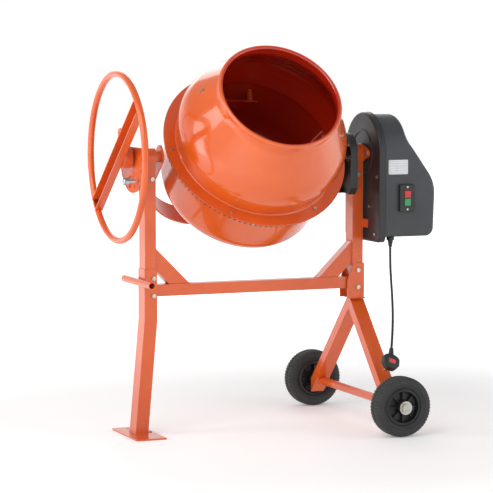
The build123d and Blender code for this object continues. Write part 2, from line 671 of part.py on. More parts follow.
def make_handwheel():
    """Tubular rim, channel spoke, hub and the bolts that hold them together."""
    with BuildPart() as rim:
        with BuildSketch(Plane(origin=(HANDWHEEL_X, 0, PIVOT_Z), x_dir=(1, 0, 0), z_dir=(0, 1, 0))):
            with Locations((0, RIM_R)):
                Circle(RIM_TUBE_R)
                Circle(RIM_TUBE_R - 2, mode=Mode.SUBTRACT)
        revolve(axis=TILT_AXIS)
        add(spoke_block(RIM_R - RIM_TUBE_R / 2, 0), mode=Mode.SUBTRACT)
    save(rim.part, "handwheel_rim")

    with BuildPart() as spoke:
        add(spoke_block(RIM_R - RIM_TUBE_R / 2, 0))
        add(spoke_block(RIM_R + RIM_TUBE_R, SPOKE_T), mode=Mode.SUBTRACT)
        with BuildSketch(pivot_plane(HANDWHEEL_X)):
            with Locations((HUB_BOLT_R, 0), (-HUB_BOLT_R, 0)):
                Circle(BOLT_R + SLIP)
        extrude(amount=SPOKE_DEPTH, mode=Mode.SUBTRACT)
    save(spoke.part, "handwheel_spoke")

    web_face = HANDWHEEL_X + SPOKE_DEPTH / 2
    with BuildPart() as hub:
        add(tube_x(web_face, WHEEL_HUB_X, WHEEL_HUB_R, PIVOT_TUBE_R))
        with BuildSketch(pivot_plane(WHEEL_HUB_X)):
            with Locations((0, -INDEX_PIN_R / 2 - 5)):
                Rectangle(24, INDEX_PIN_R - 10)
            with Locations((0, -INDEX_PIN_R)):
                Circle(16)
            with Locations((0, 0)):
                Circle(PIVOT_TUBE_R + 1, mode=Mode.SUBTRACT)
        extrude(amount=-LOCK_ARM_T)
        with BuildSketch(pivot_plane(WHEEL_HUB_X)):
            with Locations((0, -INDEX_PIN_R)):
                Circle(LOCK_PIN_R + RUN)
        extrude(amount=-LOCK_ARM_T, mode=Mode.SUBTRACT)
        with BuildSketch(pivot_plane(web_face)):
            with Locations((HUB_BOLT_R, 0), (-HUB_BOLT_R, 0)):
                Circle(BOLT_R + SLIP)
        extrude(amount=14, mode=Mode.SUBTRACT)
    save(hub.part, "handwheel_hub")

    face = HANDWHEEL_X + SPOKE_DEPTH / 2 - SPOKE_T
    bolts = []
    for way in (-1, 1):
        spot = Vector(face, 0, PIVOT_Z) + DRUM_DIR * (way * HUB_BOLT_R)
        bolts.append(hex_bolt(Plane(origin=spot, x_dir=DRUM_DIR, z_dir=(-1, 0, 0)), 14))
    with BuildPart() as end_cap:
        with BuildSketch(Plane(origin=(face, 0, PIVOT_Z), x_dir=DRUM_DIR, z_dir=(-1, 0, 0))):
            RegularPolygon(10, 6)
        extrude(amount=7)
    bolts.append(end_cap.part)
    save(Compound(children=bolts), "handwheel_bolts")


def spoke_block(half_length, wall):
    """Envelope of the channel spoke, drawn in by wall on its three closed sides."""
    with BuildPart() as block:
        with BuildSketch(pivot_plane(HANDWHEEL_X - SPOKE_DEPTH / 2)):
            Rectangle(2 * half_length, SPOKE_W - 2 * wall)
        extrude(amount=SPOKE_DEPTH - wall)
    return block.part


def make_index_and_lock():
    """Half-round index plate on the left post and the lock pin that drops into it."""
    with BuildPart() as index_plate:
        with BuildSketch(cross_plane(INDEX_X)):
            with Locations((0, PIVOT_Z)):
                Circle(INDEX_R)
                Circle(PIVOT_TUBE_R + 3, mode=Mode.SUBTRACT)
            with Locations((0, PIVOT_Z + INDEX_R)):
                Rectangle(2 * INDEX_R, 2 * INDEX_R - 60, mode=Mode.SUBTRACT)
        extrude(amount=-INDEX_T)
        for step in INDEX_STEPS:
            turn = math.radians(TILT + step * INDEX_STEP)
            with BuildSketch(cross_plane(INDEX_X)):
                with Locations((-INDEX_PIN_R * math.cos(turn), PIVOT_Z - INDEX_PIN_R * math.sin(turn))):
                    Circle(LOCK_PIN_R + 1.2)
            extrude(amount=-INDEX_T, mode=Mode.SUBTRACT)
        with BuildSketch(cross_plane(INDEX_X)):
            with Locations(*INDEX_BOLTS):
                Circle(BOLT_R + SLIP)
        extrude(amount=-INDEX_T, mode=Mode.SUBTRACT)
    save(index_plate.part, "index_plate")

    knob_x = WHEEL_HUB_X - LOCK_ARM_T - LOCK_TRAVEL
    spot = PIVOT + SIDE_DIR * (-INDEX_PIN_R)
    with BuildPart() as lock_pin:
        with BuildSketch(Plane(origin=(WHEEL_HUB_X, spot.Y, spot.Z), x_dir=(0, 1, 0), z_dir=(1, 0, 0))):
            Circle(LOCK_PIN_R)
        extrude(amount=-(LOCK_ARM_T + LOCK_TRAVEL))
        with BuildSketch(Plane(origin=(knob_x, spot.Y, spot.Z), x_dir=(0, 1, 0), z_dir=(-1, 0, 0))):
            Circle(11)
        extrude(amount=16)
        fillet(lock_pin.edges().group_by(Axis.X)[0], radius=4)
    save(lock_pin.part, "lock_pin")


def guard_outline(reach):
    """Arched outline of the pinion guard, reach wide each side of the pivot."""
    with BuildSketch(Plane.XY) as outline:
        with Locations((0, PIVOT_Z)):
            Circle(reach)
        with Locations((0, (PIVOT_Z + GUARD_FOOT) / 2)):
            Rectangle(2 * reach, PIVOT_Z - GUARD_FOOT)
        chamfer(outline.vertices().group_by(Axis.Y)[0], length=reach / 3)
    return outline.sketch


def make_pinion_guard():
    """Black shield on the inner face of the right post, round the end of the yoke arm."""
    face = RIGHT_X - UPRIGHT_X / 2
    inner = DRUM_X + YOKE_ARM_X + YOKE_T / 2 + GUARD_GAP
    with BuildPart() as guard:
        with BuildSketch(cross_plane(inner)):
            add(guard_outline(GUARD_R))
        extrude(amount=face - inner)
        with BuildSketch(cross_plane(inner)):
            add(guard_outline(GUARD_R - PLASTIC))
        extrude(amount=face - PLASTIC - inner, mode=Mode.SUBTRACT)
        with BuildSketch(cross_plane(inner)):
            with Locations((0, PIVOT_Z)):
                Circle(BLOCK_R + MOVE)
        extrude(amount=face - inner, mode=Mode.SUBTRACT)
    save(guard.part, "pinion_guard")


# ---------------------------------------------------------------- drum
def sheet_turned(points, radii, side):
    """Sheet-metal shell: a filleted outline of (radius, height) points thickened and turned."""
    with BuildPart() as shell:
        with BuildSketch(PROFILE):
            with BuildLine():
                FilletPolyline(*points, radius=radii)
                offset(amount=SHEET, side=side)
            make_face()
        revolve(axis=DRUM_AXIS)
    return shell.part


def blade_holes(end):
    """Cutters for the blade bolts of one end: 0 the upper, 1 the lower."""
    with BuildPart() as cutters:
        for turn in BLADE_TURNS:
            with BuildSketch(blade_feet(turn)[end].offset(10)):
                Circle(BOLT_R + SLIP)
            extrude(amount=-10 - 2 * SHEET)
    return cutters.part


def make_drum_shell():
    """Lower bowl, gasket and upper cone with its wired lip."""
    with BuildPart() as bowl:
        add(sheet_turned([(SHAFT_R + 3, BOWL_FLOOR), (BOWL_FLOOR_R, BOWL_FLOOR), (BOWL_LOW_R, BOWL_KNEE),
                          (BOWL_TOP_R, SEAM_H - SHEET), (FLANGE_R, SEAM_H - SHEET)],
                         [60, 60, BOWL_CORNER], Side.LEFT))
        with BuildSketch(DRUM_PLANE.offset(SEAM_H - 2 * SHEET)):
            with PolarLocations(SEAM_BOLT_R, SEAM_BOLTS):
                Circle(SEAM_BOLT_SHANK + SLIP)
        extrude(amount=4 * SHEET, mode=Mode.SUBTRACT)
        with BuildSketch(DRUM_PLANE.offset(BOWL_FLOOR - SHEET)):
            with PolarLocations(BASE_BOLT_R, BASE_BOLTS):
                Circle(BOLT_R + SLIP)
        extrude(amount=4 * SHEET, mode=Mode.SUBTRACT)
        add(blade_holes(1), mode=Mode.SUBTRACT)
    save(bowl.part, "drum_bowl")

    foot = SEAM_H + GASKET_T
    with BuildPart() as gasket:
        add(tube_h(SEAM_H, foot, FLANGE_R, FLANGE_R - 26))
        with BuildSketch(DRUM_PLANE.offset(SEAM_H)):
            with PolarLocations(SEAM_BOLT_R, SEAM_BOLTS):
                Circle(SEAM_BOLT_SHANK + SLIP)
        extrude(amount=GASKET_T, mode=Mode.SUBTRACT)
    save(gasket.part, "seam_gasket")

    wire_mid_r = LIP_OUT_R - LIP_WIRE_R
    wire_mid_h = MOUTH_H - LIP_WIRE_R
    with BuildPart() as cone:
        add(sheet_turned([(FLANGE_R, foot), (CONE_FOOT_R, foot), (CONE_SHOULDER_R, CONE_SHOULDER_H),
                          (NECK_R, NECK_H), (wire_mid_r, wire_mid_h)], [6, 110, 40], Side.RIGHT))
        with BuildSketch(PROFILE):
            with Locations((wire_mid_r, wire_mid_h)):
                Circle(LIP_WIRE_R)
        revolve(axis=DRUM_AXIS)
        with BuildSketch(DRUM_PLANE.offset(foot - SHEET)):
            with PolarLocations(SEAM_BOLT_R, SEAM_BOLTS):
                Circle(SEAM_BOLT_SHANK + SLIP)
        extrude(amount=4 * SHEET, mode=Mode.SUBTRACT)
        add(blade_holes(0), mode=Mode.SUBTRACT)
    save(cone.part, "drum_cone")


def make_drum_base():
    """Stiffening disc and shaft under the bowl, with the bolts of the whole drum."""
    under = BOWL_FLOOR
    with BuildPart() as base:
        with BuildSketch(DRUM_PLANE.offset(under)):
            Circle(BASE_R)
            Circle(SHAFT_R, mode=Mode.SUBTRACT)
            with PolarLocations(BASE_BOLT_R, BASE_BOLTS):
                Circle(BOLT_R + SLIP, mode=Mode.SUBTRACT)
        extrude(amount=-BASE_T)
        chamfer(base.edges().filter_by(GeomType.CIRCLE).sort_by(SortBy.RADIUS)[-1], length=2)
    save(base.part, "drum_base_plate")

    shaft_end = -YOKE_DROP - 14
    with BuildPart() as shaft:
        add(tube_h(shaft_end, under + 3, SHAFT_R, 0))
        add(tube_h(-YOKE_DROP + YOKE_T + YOKE_HUB_H + 1, under - BASE_T, SHAFT_R + 9, 0))
        with BuildSketch(DRUM_PLANE.offset(-YOKE_DROP - 1.5)):
            RegularPolygon(22, 6)
        extrude(amount=-10)
    save(shaft.part, "drum_shaft")

    bolts = []
    seam_top = SEAM_H + GASKET_T + SHEET
    for k in range(SEAM_BOLTS):
        spot = DRUM_PLANE.offset(seam_top).location * Location(polar(SEAM_BOLT_R, k, SEAM_BOLTS))
        bolts.append(hex_bolt(Plane(spot), SEAM_GRIP, head_r=SEAM_HEAD_R, shank_r=SEAM_BOLT_SHANK))
    for k in range(BASE_BOLTS):
        spot = DRUM_PLANE.offset(under + SHEET).location * Location(polar(BASE_BOLT_R, k, BASE_BOLTS))
        bolts.append(hex_bolt(Plane(spot), SHEET + BASE_T + 4))
    for turn in BLADE_TURNS:
        for foot in blade_feet(turn):
            bolts.append(hex_bolt(foot.offset(0.4), 2 * SHEET + FOOT_BOLT_DEPTH + 0.4, head_r=6.0))
    save(Compound(children=bolts), "drum_bolts")


def polar(radius, index, count):
    """Point number index of count on a circle, in the drum's plane."""
    turn = 2 * math.pi * index / count
    return (radius * math.cos(turn), radius * math.sin(turn), 0)


def wall_frame(turn_deg, height):
    """Plane on the drum's outer wall at an angle and height, its normal pointing out."""
    if height > CONE_SHOULDER_H:
        lean = (CONE_SHOULDER_R - NECK_R) / (NECK_H - CONE_SHOULDER_H)
        radius = CONE_SHOULDER_R - lean * (height - CONE_SHOULDER_H)
        skin = SHEET            # the cone's sheet lies outside its outline, the bowl's inside
    else:
        lean = -(BOWL_TOP_R - BOWL_LOW_R) / (SEAM_H - BOWL_KNEE)
        radius = BOWL_TOP_R + lean * (SEAM_H - height)
        skin = 0
    turn = math.radians(turn_deg)
    out = Vector(1, 0, 0) * math.cos(turn) + SIDE_DIR * math.sin(turn)
    normal = (out + DRUM_DIR * lean).normalized()
    spot = PIVOT + out * radius + DRUM_DIR * height + normal * skin
    return Plane(origin=spot, x_dir=normal.cross(DRUM_DIR), z_dir=normal)


def blade_feet(turn):
    """Wall planes of the upper and the lower foot of the blade that starts at an angle."""
    return (wall_frame(turn, BLADE_HIGH), wall_frame(turn - BLADE_SWEEP, BLADE_LOW))


def flat_bar(start, end, facing, width, thick):
    """Flat bar from start to end whose broad face looks along facing."""
    run = end - start
    across = run.cross(facing).normalized()
    with BuildPart() as bar:
        with BuildSketch(Plane(origin=start, x_dir=across, z_dir=run)):
            Rectangle(width, thick)
        extrude(amount=run.length)
    return bar.part


def make_blades():
    """Two mixing blades: broad flat bars set across the drum, bolted to the wall at each end."""
    blades = []
    for turn in BLADE_TURNS:
        high, low = blade_feet(turn)
        top = high.origin - high.z_dir * BLADE_INSET
        bottom = low.origin - low.z_dir * BLADE_INSET
        run = (bottom - top).normalized()
        with BuildPart() as blade:
            add(flat_bar(top - run * 12, bottom + run * 12, high.z_dir + low.z_dir, BLADE_W, BLADE_T))
            for foot, reach in ((high, BLADE_INSET), (low, BLADE_INSET)):
                with BuildSketch(foot.offset(-2 * SHEET)):
                    Circle(FOOT_BOSS_R)
                extrude(amount=2 * SHEET - reach)
                with BuildSketch(foot.offset(-2 * SHEET - FOOT_BOLT_DEPTH)):
                    Circle(BOLT_R)
                extrude(amount=FOOT_BOLT_DEPTH, mode=Mode.SUBTRACT)
        blades.append(blade.part)
    save(Compound(children=blades), "mixing_blades")


# ---------------------------------------------------------------- gear pair


def ring_tooth():
    """One tooth of the ring gear, tapered towards the apex on the pivot."""
    with BuildPart() as tooth:
        for radius in (GEAR_R - GEAR_FACE / 2, GEAR_R + GEAR_FACE / 2):
            grow = radius / GEAR_R
            root = (PINION_R + DEDENDUM + 0.5) * grow
            tip = (PINION_R - ADDENDUM) * grow
            wide = (TOOTH_HALF + FLANK * (DEDENDUM + 0.5)) * grow
            slim = (TOOTH_HALF - FLANK * ADDENDUM) * grow
            spot = PIVOT + Vector(radius, 0, 0)
            with BuildSketch(Plane(origin=spot, x_dir=SIDE_DIR, z_dir=(1, 0, 0))):
                Polygon((-wide, root), (wide, root), (slim, tip), (-slim, tip), align=None)
        loft(ruled=True)
    return tooth.part


def make_ring_gear():
    """Ring gear under the drum flange, its teeth pointing down the drum."""
    tooth = ring_tooth()
    teeth = [tooth.rotate(DRUM_AXIS, 360.0 * k / RING_TEETH) for k in range(RING_TEETH)]
    back = SEAM_H - SHEET
    with BuildPart() as ring_gear:
        add(tube_h(back - RING_BACK, back, GEAR_R + GEAR_FACE / 2 + 1.5, BOWL_TOP_R + BOWL_CORNER + MOVE))
        add(teeth)
    save(ring_gear.part, "ring_gear")


def make_pinion():
    """Pinion cut on the end of its shaft."""
    inner = GEAR_R - GEAR_FACE / 2 + 1
    outer = GEAR_R + GEAR_FACE / 2 - 1
    step = 360.0 / PINION_TEETH
    with BuildPart() as pinion:
        for radius in (inner, outer):
            with BuildSketch(Plane(origin=PIVOT + Vector(radius, 0, 0), x_dir=SIDE_DIR, z_dir=(1, 0, 0))):
                grow = radius / GEAR_R
                Circle((PINION_R - DEDENDUM) * grow)
        loft(ruled=True)
        for k in range(PINION_TEETH):
            add(pinion_tooth(inner, outer).rotate(TILT_AXIS, step * (k + 0.5)))
        add(tube_x(DRUM_X + outer - 0.5, PULLEY_X + BELT_W + 3, PINION_SHAFT_R, 0))
    save(pinion.part, "pinion_shaft")


def pinion_tooth(inner, outer):
    """One pinion tooth standing along the drum direction."""
    with BuildPart() as tooth:
        for radius in (inner, outer):
            grow = radius / GEAR_R
            low = (PINION_R - DEDENDUM - 2) * grow
            high = (PINION_R + ADDENDUM) * grow
            wide = (TOOTH_HALF + 0.5) * grow
            slim = (TOOTH_HALF - FLANK * ADDENDUM * 1.2) * grow
            with BuildSketch(Plane(origin=PIVOT + Vector(radius, 0, 0), x_dir=SIDE_DIR, z_dir=(1, 0, 0))):
                Polygon((-wide, low), (wide, low), (TOOTH_HALF * grow, PINION_R * grow), (slim, high),
                        (-slim, high), (-TOOTH_HALF * grow, PINION_R * grow), align=None)
        loft(ruled=True)
    return tooth.part


# ---------------------------------------------------------------- drive housing
def housing_profile(radius, foot, corner):
    """Arched outline of the housing seen along X: round the pivot above, square below."""
    with BuildSketch(Plane.XY) as outline:
        with Locations((0, PIVOT_Z)):
            Circle(radius)
        with Locations((0, (PIVOT_Z + foot) / 2)):
            Rectangle(2 * radius, PIVOT_Z - foot)
        fillet(outline.vertices().group_by(Axis.Y)[0], radius=corner)
    return outline.sketch


def cover_solid(inset):
    """Solid envelope of the cover, drawn in by inset all round."""
    start = PAN_X + PAN_DEPTH
    out = COVER_X - inset
    foot = COVER_FOOT + inset
    reach = COVER_R - inset
    above = PIVOT_Z + PAN_R
    neck = start + COVER_NECK - inset
    with BuildPart() as block:
        with BuildSketch(side_plane(COVER_R)):
            with BuildLine():
                FilletPolyline((start, above), (neck, above), (neck, COVER_NECK_Z), (out, COVER_BELLY_Z),
                               (out - COVER_FOOT_LEAN, foot), (start, foot),
                               radius=[COVER_TOP_BEND, COVER_NECK_BEND + inset, COVER_BELLY_BEND - inset,
                                       COVER_FOOT_BEND - inset])
                Line((start, foot), (start, above))
            make_face()
        extrude(amount=2 * COVER_R)
        with BuildSketch(cross_plane(start)):
            with Locations((0, PIVOT_Z)):
                Circle(reach)
            with Locations((0, (PIVOT_Z + foot) / 2)):
                Rectangle(2 * reach, PIVOT_Z - foot)
        extrude(amount=out - start, mode=Mode.INTERSECT)
        rim = block.edges().filter_by(lambda e: is_cover_rim(e, start, reach))
        fillet(rim, radius=COVER_EDGE_R - inset)
    return block.part


def is_cover_rim(edge, start, reach):
    """True for the edges that run round the cover's two sides and its foot."""
    box = edge.bounding_box()
    on_pan = box.max.X < start + 1
    crosses = edge.geom_type == GeomType.LINE and box.size.Y > 2 * reach - 1
    seam = box.size.Z < 0.01 and abs(edge.center().Z - PIVOT_Z) < 1
    return not (on_pan or crosses or seam)


def make_housing():
    """Pan on the right post and the deep cover that closes the drive."""
    with BuildPart() as pan:
        with BuildSketch(cross_plane(PAN_X)):
            add(housing_profile(PAN_R, PAN_FOOT, 22))
        extrude(amount=PAN_DEPTH)
        fillet(pan.faces().sort_by(Axis.X)[0].edges(), radius=7)
        with BuildSketch(cross_plane(PAN_X + PLASTIC)):
            add(housing_profile(PAN_R - PLASTIC, PAN_FOOT + PLASTIC, 19))
        extrude(amount=PAN_DEPTH, mode=Mode.SUBTRACT)
        with BuildSketch(cross_plane(PAN_X)):
            with Locations((0, PIVOT_Z)):
                Circle(TRUNNION_R + 3)
            with Locations((-PLATE_BOLT_Y, PIVOT_Z), (PLATE_BOLT_Y, PIVOT_Z)):
                Circle(BOLT_R + SLIP)
            with Locations(*PAN_SCREWS):
                Circle(PAN_SCREW_R + SLIP)
        extrude(amount=PLASTIC, mode=Mode.SUBTRACT)
    save(pan.part, "housing_pan")

    with BuildPart() as cover:
        add(cover_solid(0))
        add(cover_solid(PLASTIC), mode=Mode.SUBTRACT)
        # window for the two buttons, lead hole under the gland
        with BuildSketch(side_plane(-COVER_R + PLASTIC + 4)):
            with Locations((SWITCH_X, SWITCH_Z)):
                Rectangle(30, 58)
        extrude(amount=PLASTIC + 6, mode=Mode.SUBTRACT)
        with BuildSketch(Plane.XY.offset(COVER_FOOT - 1)):
            with Locations((GLAND_X, GLAND_Y)):
                Circle(GLAND_NECK_R)
        extrude(amount=PLASTIC + 2, mode=Mode.SUBTRACT)
    save(cover.part, "housing_cover")


def make_housing_fittings():
    """Bracket, screws, rating plate, switch and its buttons, and the cord gland."""
    with BuildPart() as bracket:
        with BuildSketch(side_plane(-UPRIGHT_Y / 2 - 22)):
            with Locations((0, 0)):
                Polygon((RIGHT_X + UPRIGHT_X / 2, 602), (PAN_X, 602), (PAN_X, 628),
                        (RIGHT_X + UPRIGHT_X / 2, 628), align=None)
        extrude(amount=-64)
        with BuildSketch(side_plane(-UPRIGHT_Y / 2 - 30)):
            Polygon((RIGHT_X + UPRIGHT_X / 2, 600), (PAN_X - 3, 600), (PAN_X - 3, 630),
                    (RIGHT_X + UPRIGHT_X / 2, 630), align=None)
        extrude(amount=-29.9, mode=Mode.SUBTRACT)
    save(bracket.part, "housing_bracket")

    pieces = []
    for y, z in PAN_SCREWS:
        place = Plane(origin=(PAN_X, y, z), x_dir=(0, 1, 0), z_dir=(-1, 0, 0))
        pieces.append(hex_bolt(place, PLASTIC, head_r=4.5, shank_r=PAN_SCREW_R))
    for x in (SWITCH_X,):
        for z in (SWITCH_Z + 34, SWITCH_Z - 34):
            with BuildPart() as screw:
                with BuildSketch(side_plane(-COVER_R - SWITCH_D)):
                    with Locations((x, z)):
                        Circle(3)
                extrude(amount=1.2)
            pieces.append(screw.part)
    save(Compound(children=pieces), "housing_screws")

    with BuildPart() as rating_plate:
        with BuildSketch(side_plane(-COVER_R)):
            with Locations((RIGHT_X + 92, 790)):
                RectangleRounded(65, 44, 3)
        extrude(amount=0.8)
    save(rating_plate.part, "rating_plate")

    with BuildPart() as switch_box:
        with BuildSketch(side_plane(-COVER_R)):
            with Locations((SWITCH_X, SWITCH_Z)):
                RectangleRounded(48, 84, 4)
        extrude(amount=SWITCH_D)
        chamfer(switch_box.faces().sort_by(Axis.Y)[0].outer_wire().edges(), length=2)
        for z in (SWITCH_Z + BUTTON_H / 2 + 1, SWITCH_Z - BUTTON_H / 2 - 1):
            with BuildSketch(side_plane(-COVER_R + 1)):
                with Locations((SWITCH_X, z)):
                    Rectangle(BUTTON_W + 2 * MOVE, BUTTON_H + 2 * MOVE)
            extrude(amount=SWITCH_D + 2, mode=Mode.SUBTRACT)
    save(switch_box.part, "switch_box")

    for label, z in (("stop_button", SWITCH_Z + BUTTON_H / 2 + 1), ("start_button", SWITCH_Z - BUTTON_H / 2 - 1)):
        with BuildPart() as button:
            with BuildSketch(side_plane(-COVER_R - 1)):
                with Locations((SWITCH_X, z)):
                    Rectangle(BUTTON_W, BUTTON_H)
            extrude(amount=SWITCH_D + 3)
            chamfer(button.faces().sort_by(Axis.Y)[0].edges(), length=1.2)
        save(button.part, label)

    with BuildPart() as gland:
        with BuildSketch(Plane(origin=(GLAND_X, GLAND_Y, COVER_FOOT))):
            Circle(12)
        extrude(amount=-10)
        with BuildSketch(Plane(origin=(GLAND_X, GLAND_Y, COVER_FOOT - 10))):
            Circle(9)
        with BuildSketch(Plane(origin=(GLAND_X, GLAND_Y, CORD_ROUTE[0][2]))):
            Circle(CORD_R + 1.5)
        loft()
        with BuildSketch(Plane(origin=(GLAND_X, GLAND_Y, COVER_FOOT))):
            Circle(GLAND_NECK_R)
        extrude(amount=PLASTIC + 5)
    save(gland.part, "cord_gland")


# ---------------------------------------------------------------- drive
def make_drive():
    """Motor with its bracket, shaft and pulley, the driven pulley and the belt."""
    motor_x = PULLEY_X + BELT_W + 12
    with BuildPart() as motor:
        add(tube_x(motor_x, motor_x + 92, MOTOR_R, 0, 0, MOTOR_Z))
        with BuildSketch(cross_plane(motor_x + 8)):
            with Locations((0, MOTOR_Z)):
                with PolarLocations(MOTOR_R, 24):
                    Rectangle(8, 3)
        extrude(amount=70)
        with BuildSketch(cross_plane(motor_x)):
            with Locations((0, MOTOR_Z)):
                Rectangle(104, 104)
        extrude(amount=6)
        with BuildSketch(cross_plane(motor_x)):
            with Locations((0, MOTOR_Z)):
                Circle(MOTOR_SHAFT_R + RUN)
        extrude(amount=60, mode=Mode.SUBTRACT)
    save(motor.part, "motor_body")

    with BuildPart() as bracket:
        with BuildSketch(cross_plane(PAN_X + PLASTIC)):
            with Locations((0, MOTOR_Z)):
                Rectangle(130, 116)
                Circle(30, mode=Mode.SUBTRACT)
        extrude(amount=3)
        for y in (-STANDOFF_Y, STANDOFF_Y):
            for z in STANDOFF_Z:
                add(tube_x(PAN_X + PLASTIC + 3, motor_x, 6, 0, y, MOTOR_Z + z))
    save(bracket.part, "motor_bracket")

    save(tube_x(PULLEY_X, motor_x + 58, MOTOR_SHAFT_R, 0, 0, MOTOR_Z), "motor_shaft")
    with BuildPart() as motor_pulley:
        add(tube_x(PULLEY_X - 1, PULLEY_X + BELT_W + 1, MOTOR_PULLEY_R - MOVE, MOTOR_SHAFT_R, 0, MOTOR_Z))
    save(motor_pulley.part, "motor_pulley")

    with BuildPart() as drive_pulley:
        add(tube_x(PULLEY_X, PULLEY_X + BELT_W, PULLEY_R - MOVE, PULLEY_R - 12))
        add(tube_x(PULLEY_X + 3, PULLEY_X + BELT_W - 3, PULLEY_R - 12, PINION_SHAFT_R))
        add(tube_x(PULLEY_X - 3, PULLEY_X + BELT_W + 2, 22, PINION_SHAFT_R))
        with BuildSketch(cross_plane(PULLEY_X)):
            with Locations((0, PIVOT_Z)):
                with PolarLocations(57, 5):
                    Circle(19)
        extrude(amount=BELT_W, mode=Mode.SUBTRACT)
    save(drive_pulley.part, "drive_pulley")

    with BuildPart() as belt:
        for grow, mode in ((BELT_T, Mode.ADD), (0.0, Mode.SUBTRACT)):
            with BuildSketch(cross_plane(PULLEY_X)):
                with Locations((0, PIVOT_Z)):
                    Circle(PULLEY_R + grow)
                with Locations((0, MOTOR_Z)):
                    Circle(MOTOR_PULLEY_R + grow)
                make_hull()
            extrude(amount=BELT_W, mode=mode)
    save(belt.part, "drive_belt")


# ---------------------------------------------------------------- power lead
def corner_radii(points):
    """Largest sensible arc at each corner of the lead: 0.45 of the shorter run."""
    radii = []
    for before, here, after in zip(points, points[1:], points[2:]):
        first = Vector(*here) - Vector(*before)
        second = Vector(*after) - Vector(*here)
        turn = math.radians(first.get_angle(second))
        radii.append(0.45 * min(first.length, second.length) / math.tan(turn / 2))
    return radii


def make_lead():
    """The hanging lead and the three-pin plug at its end."""
    route = [(DRUM_X + x, y, z) for x, y, z in CORD_ROUTE]
    radii = corner_radii(route)
    print("cord corner radii:", [round(r, 1) for r in radii])
    with BuildPart() as cord:
        with BuildLine() as path:
            FilletPolyline(*route, radius=radii)
        with BuildSketch(Plane(origin=path.line @ 0, z_dir=path.line % 0)):
            Circle(CORD_R)
        sweep()
    print("cord length:", round(cord.part.volume / (math.pi * CORD_R ** 2), 1))
    save(cord.part, "power_cord")

    end = Vector(*route[-1])
    last = (end - Vector(*route[-2])).normalized()
    front = Vector(0, -1, 0)
    across = front.cross(last).normalized()
    plug_plane = Plane(origin=end, x_dir=across, z_dir=last)
    with BuildPart() as plug:
        with BuildSketch(plug_plane):
            Circle(CORD_R + 1)
        with BuildSketch(plug_plane.offset(RELIEF_L)):
            RectangleRounded(16, 13, 4)
        loft()
        with BuildSketch(plug_plane.offset(RELIEF_L)):
            RectangleRounded(34, PLUG_T - 6, 5)
        with BuildSketch(plug_plane.offset(RELIEF_L + 9)):
            RectangleRounded(PLUG_W, PLUG_T, 6)
        loft()
        with BuildSketch(plug_plane.offset(RELIEF_L + 9)):
            RectangleRounded(PLUG_W, PLUG_T, 6)
        extrude(amount=22)
        with BuildSketch(plug_plane.offset(RELIEF_L + 31)):
            RectangleRounded(PLUG_W, PLUG_T, 6)
        with BuildSketch(plug_plane.offset(RELIEF_L + PLUG_L)):
            RectangleRounded(PLUG_W - 26, PLUG_T - 4, 5)
        loft()
    save(plug.part, "plug_body")

    back = plug_plane.y_dir
    way = 1 if back.Y > 0 else -1
    pins = []
    for x, h, wide, long in ((0, 38, 8, 22), (-11, 17, 6.3, 17), (11, 17, 6.3, 17)):
        spot = end + last * (RELIEF_L + h) + across * x + back * (way * PLUG_T / 2)
        with BuildPart() as pin:
            with BuildSketch(Plane(origin=spot, x_dir=across, z_dir=back * way)):
                Rectangle(wide, 4)
            extrude(amount=long)
        pins.append(pin.part)
    save(Compound(children=pins), "plug_pins")


# ---------------------------------------------------------------- build
make_uprights()
make_beam_and_braces()
make_left_leg()
make_wheel_legs()
make_axle_fasteners()
make_wheel("front", -1)
make_wheel("back", 1)
make_bearings()
make_frame_bolts()
make_yoke()
make_handwheel()
make_index_and_lock()
make_pinion_guard()
make_drum_shell()
make_drum_base()
make_blades()
make_ring_gear()
make_pinion()
make_housing()
make_housing_fittings()
make_drive()
make_lead()
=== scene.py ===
import json
import logging
import math
from dataclasses import dataclass, field
from enum import Enum
from typing import Callable, Iterable, Sequence

import bmesh
import bpy
from mathutils import Matrix, Vector


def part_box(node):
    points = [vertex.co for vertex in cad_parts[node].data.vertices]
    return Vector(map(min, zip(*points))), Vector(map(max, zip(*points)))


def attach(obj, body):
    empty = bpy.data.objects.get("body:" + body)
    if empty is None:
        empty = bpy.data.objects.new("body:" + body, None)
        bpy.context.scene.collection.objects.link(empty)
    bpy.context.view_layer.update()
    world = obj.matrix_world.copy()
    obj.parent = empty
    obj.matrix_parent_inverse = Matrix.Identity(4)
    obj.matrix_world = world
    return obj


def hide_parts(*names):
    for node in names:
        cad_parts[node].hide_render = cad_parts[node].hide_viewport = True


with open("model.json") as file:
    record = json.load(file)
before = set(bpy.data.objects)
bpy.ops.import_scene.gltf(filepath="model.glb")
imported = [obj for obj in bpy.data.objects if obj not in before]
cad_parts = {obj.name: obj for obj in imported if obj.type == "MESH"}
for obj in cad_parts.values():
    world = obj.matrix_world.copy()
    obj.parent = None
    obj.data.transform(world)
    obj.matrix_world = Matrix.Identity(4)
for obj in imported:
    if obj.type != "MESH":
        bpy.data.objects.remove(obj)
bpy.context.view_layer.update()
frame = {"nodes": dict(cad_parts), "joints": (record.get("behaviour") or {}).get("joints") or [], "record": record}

LOG = logging.getLogger("concrete_mixer")
logging.basicConfig(level=logging.INFO, format="%(name)s: %(message)s")

MM = 0.001
NODES: dict[str, bpy.types.Object] = frame["nodes"]
JOINTS: dict[str, dict] = {joint["name"]: joint for joint in frame["joints"]}
PIVOT = Vector(JOINTS["drum_tilt"]["pos_m"])
DRUM_AXIS = Vector(JOINTS["drum_spin"]["axis"]).normalized()


class Grain(Enum):
    """How a finish's surface was made, which sets the kind of relief it shows."""

    ORANGE_PEEL = "powder coat flow"
    SPARK = "spark-eroded mould texture"
    MACHINED = "turning marks"
    CAST = "cast skin"
    PLATED = "zinc spangle"
    PRINTED = "printed film"


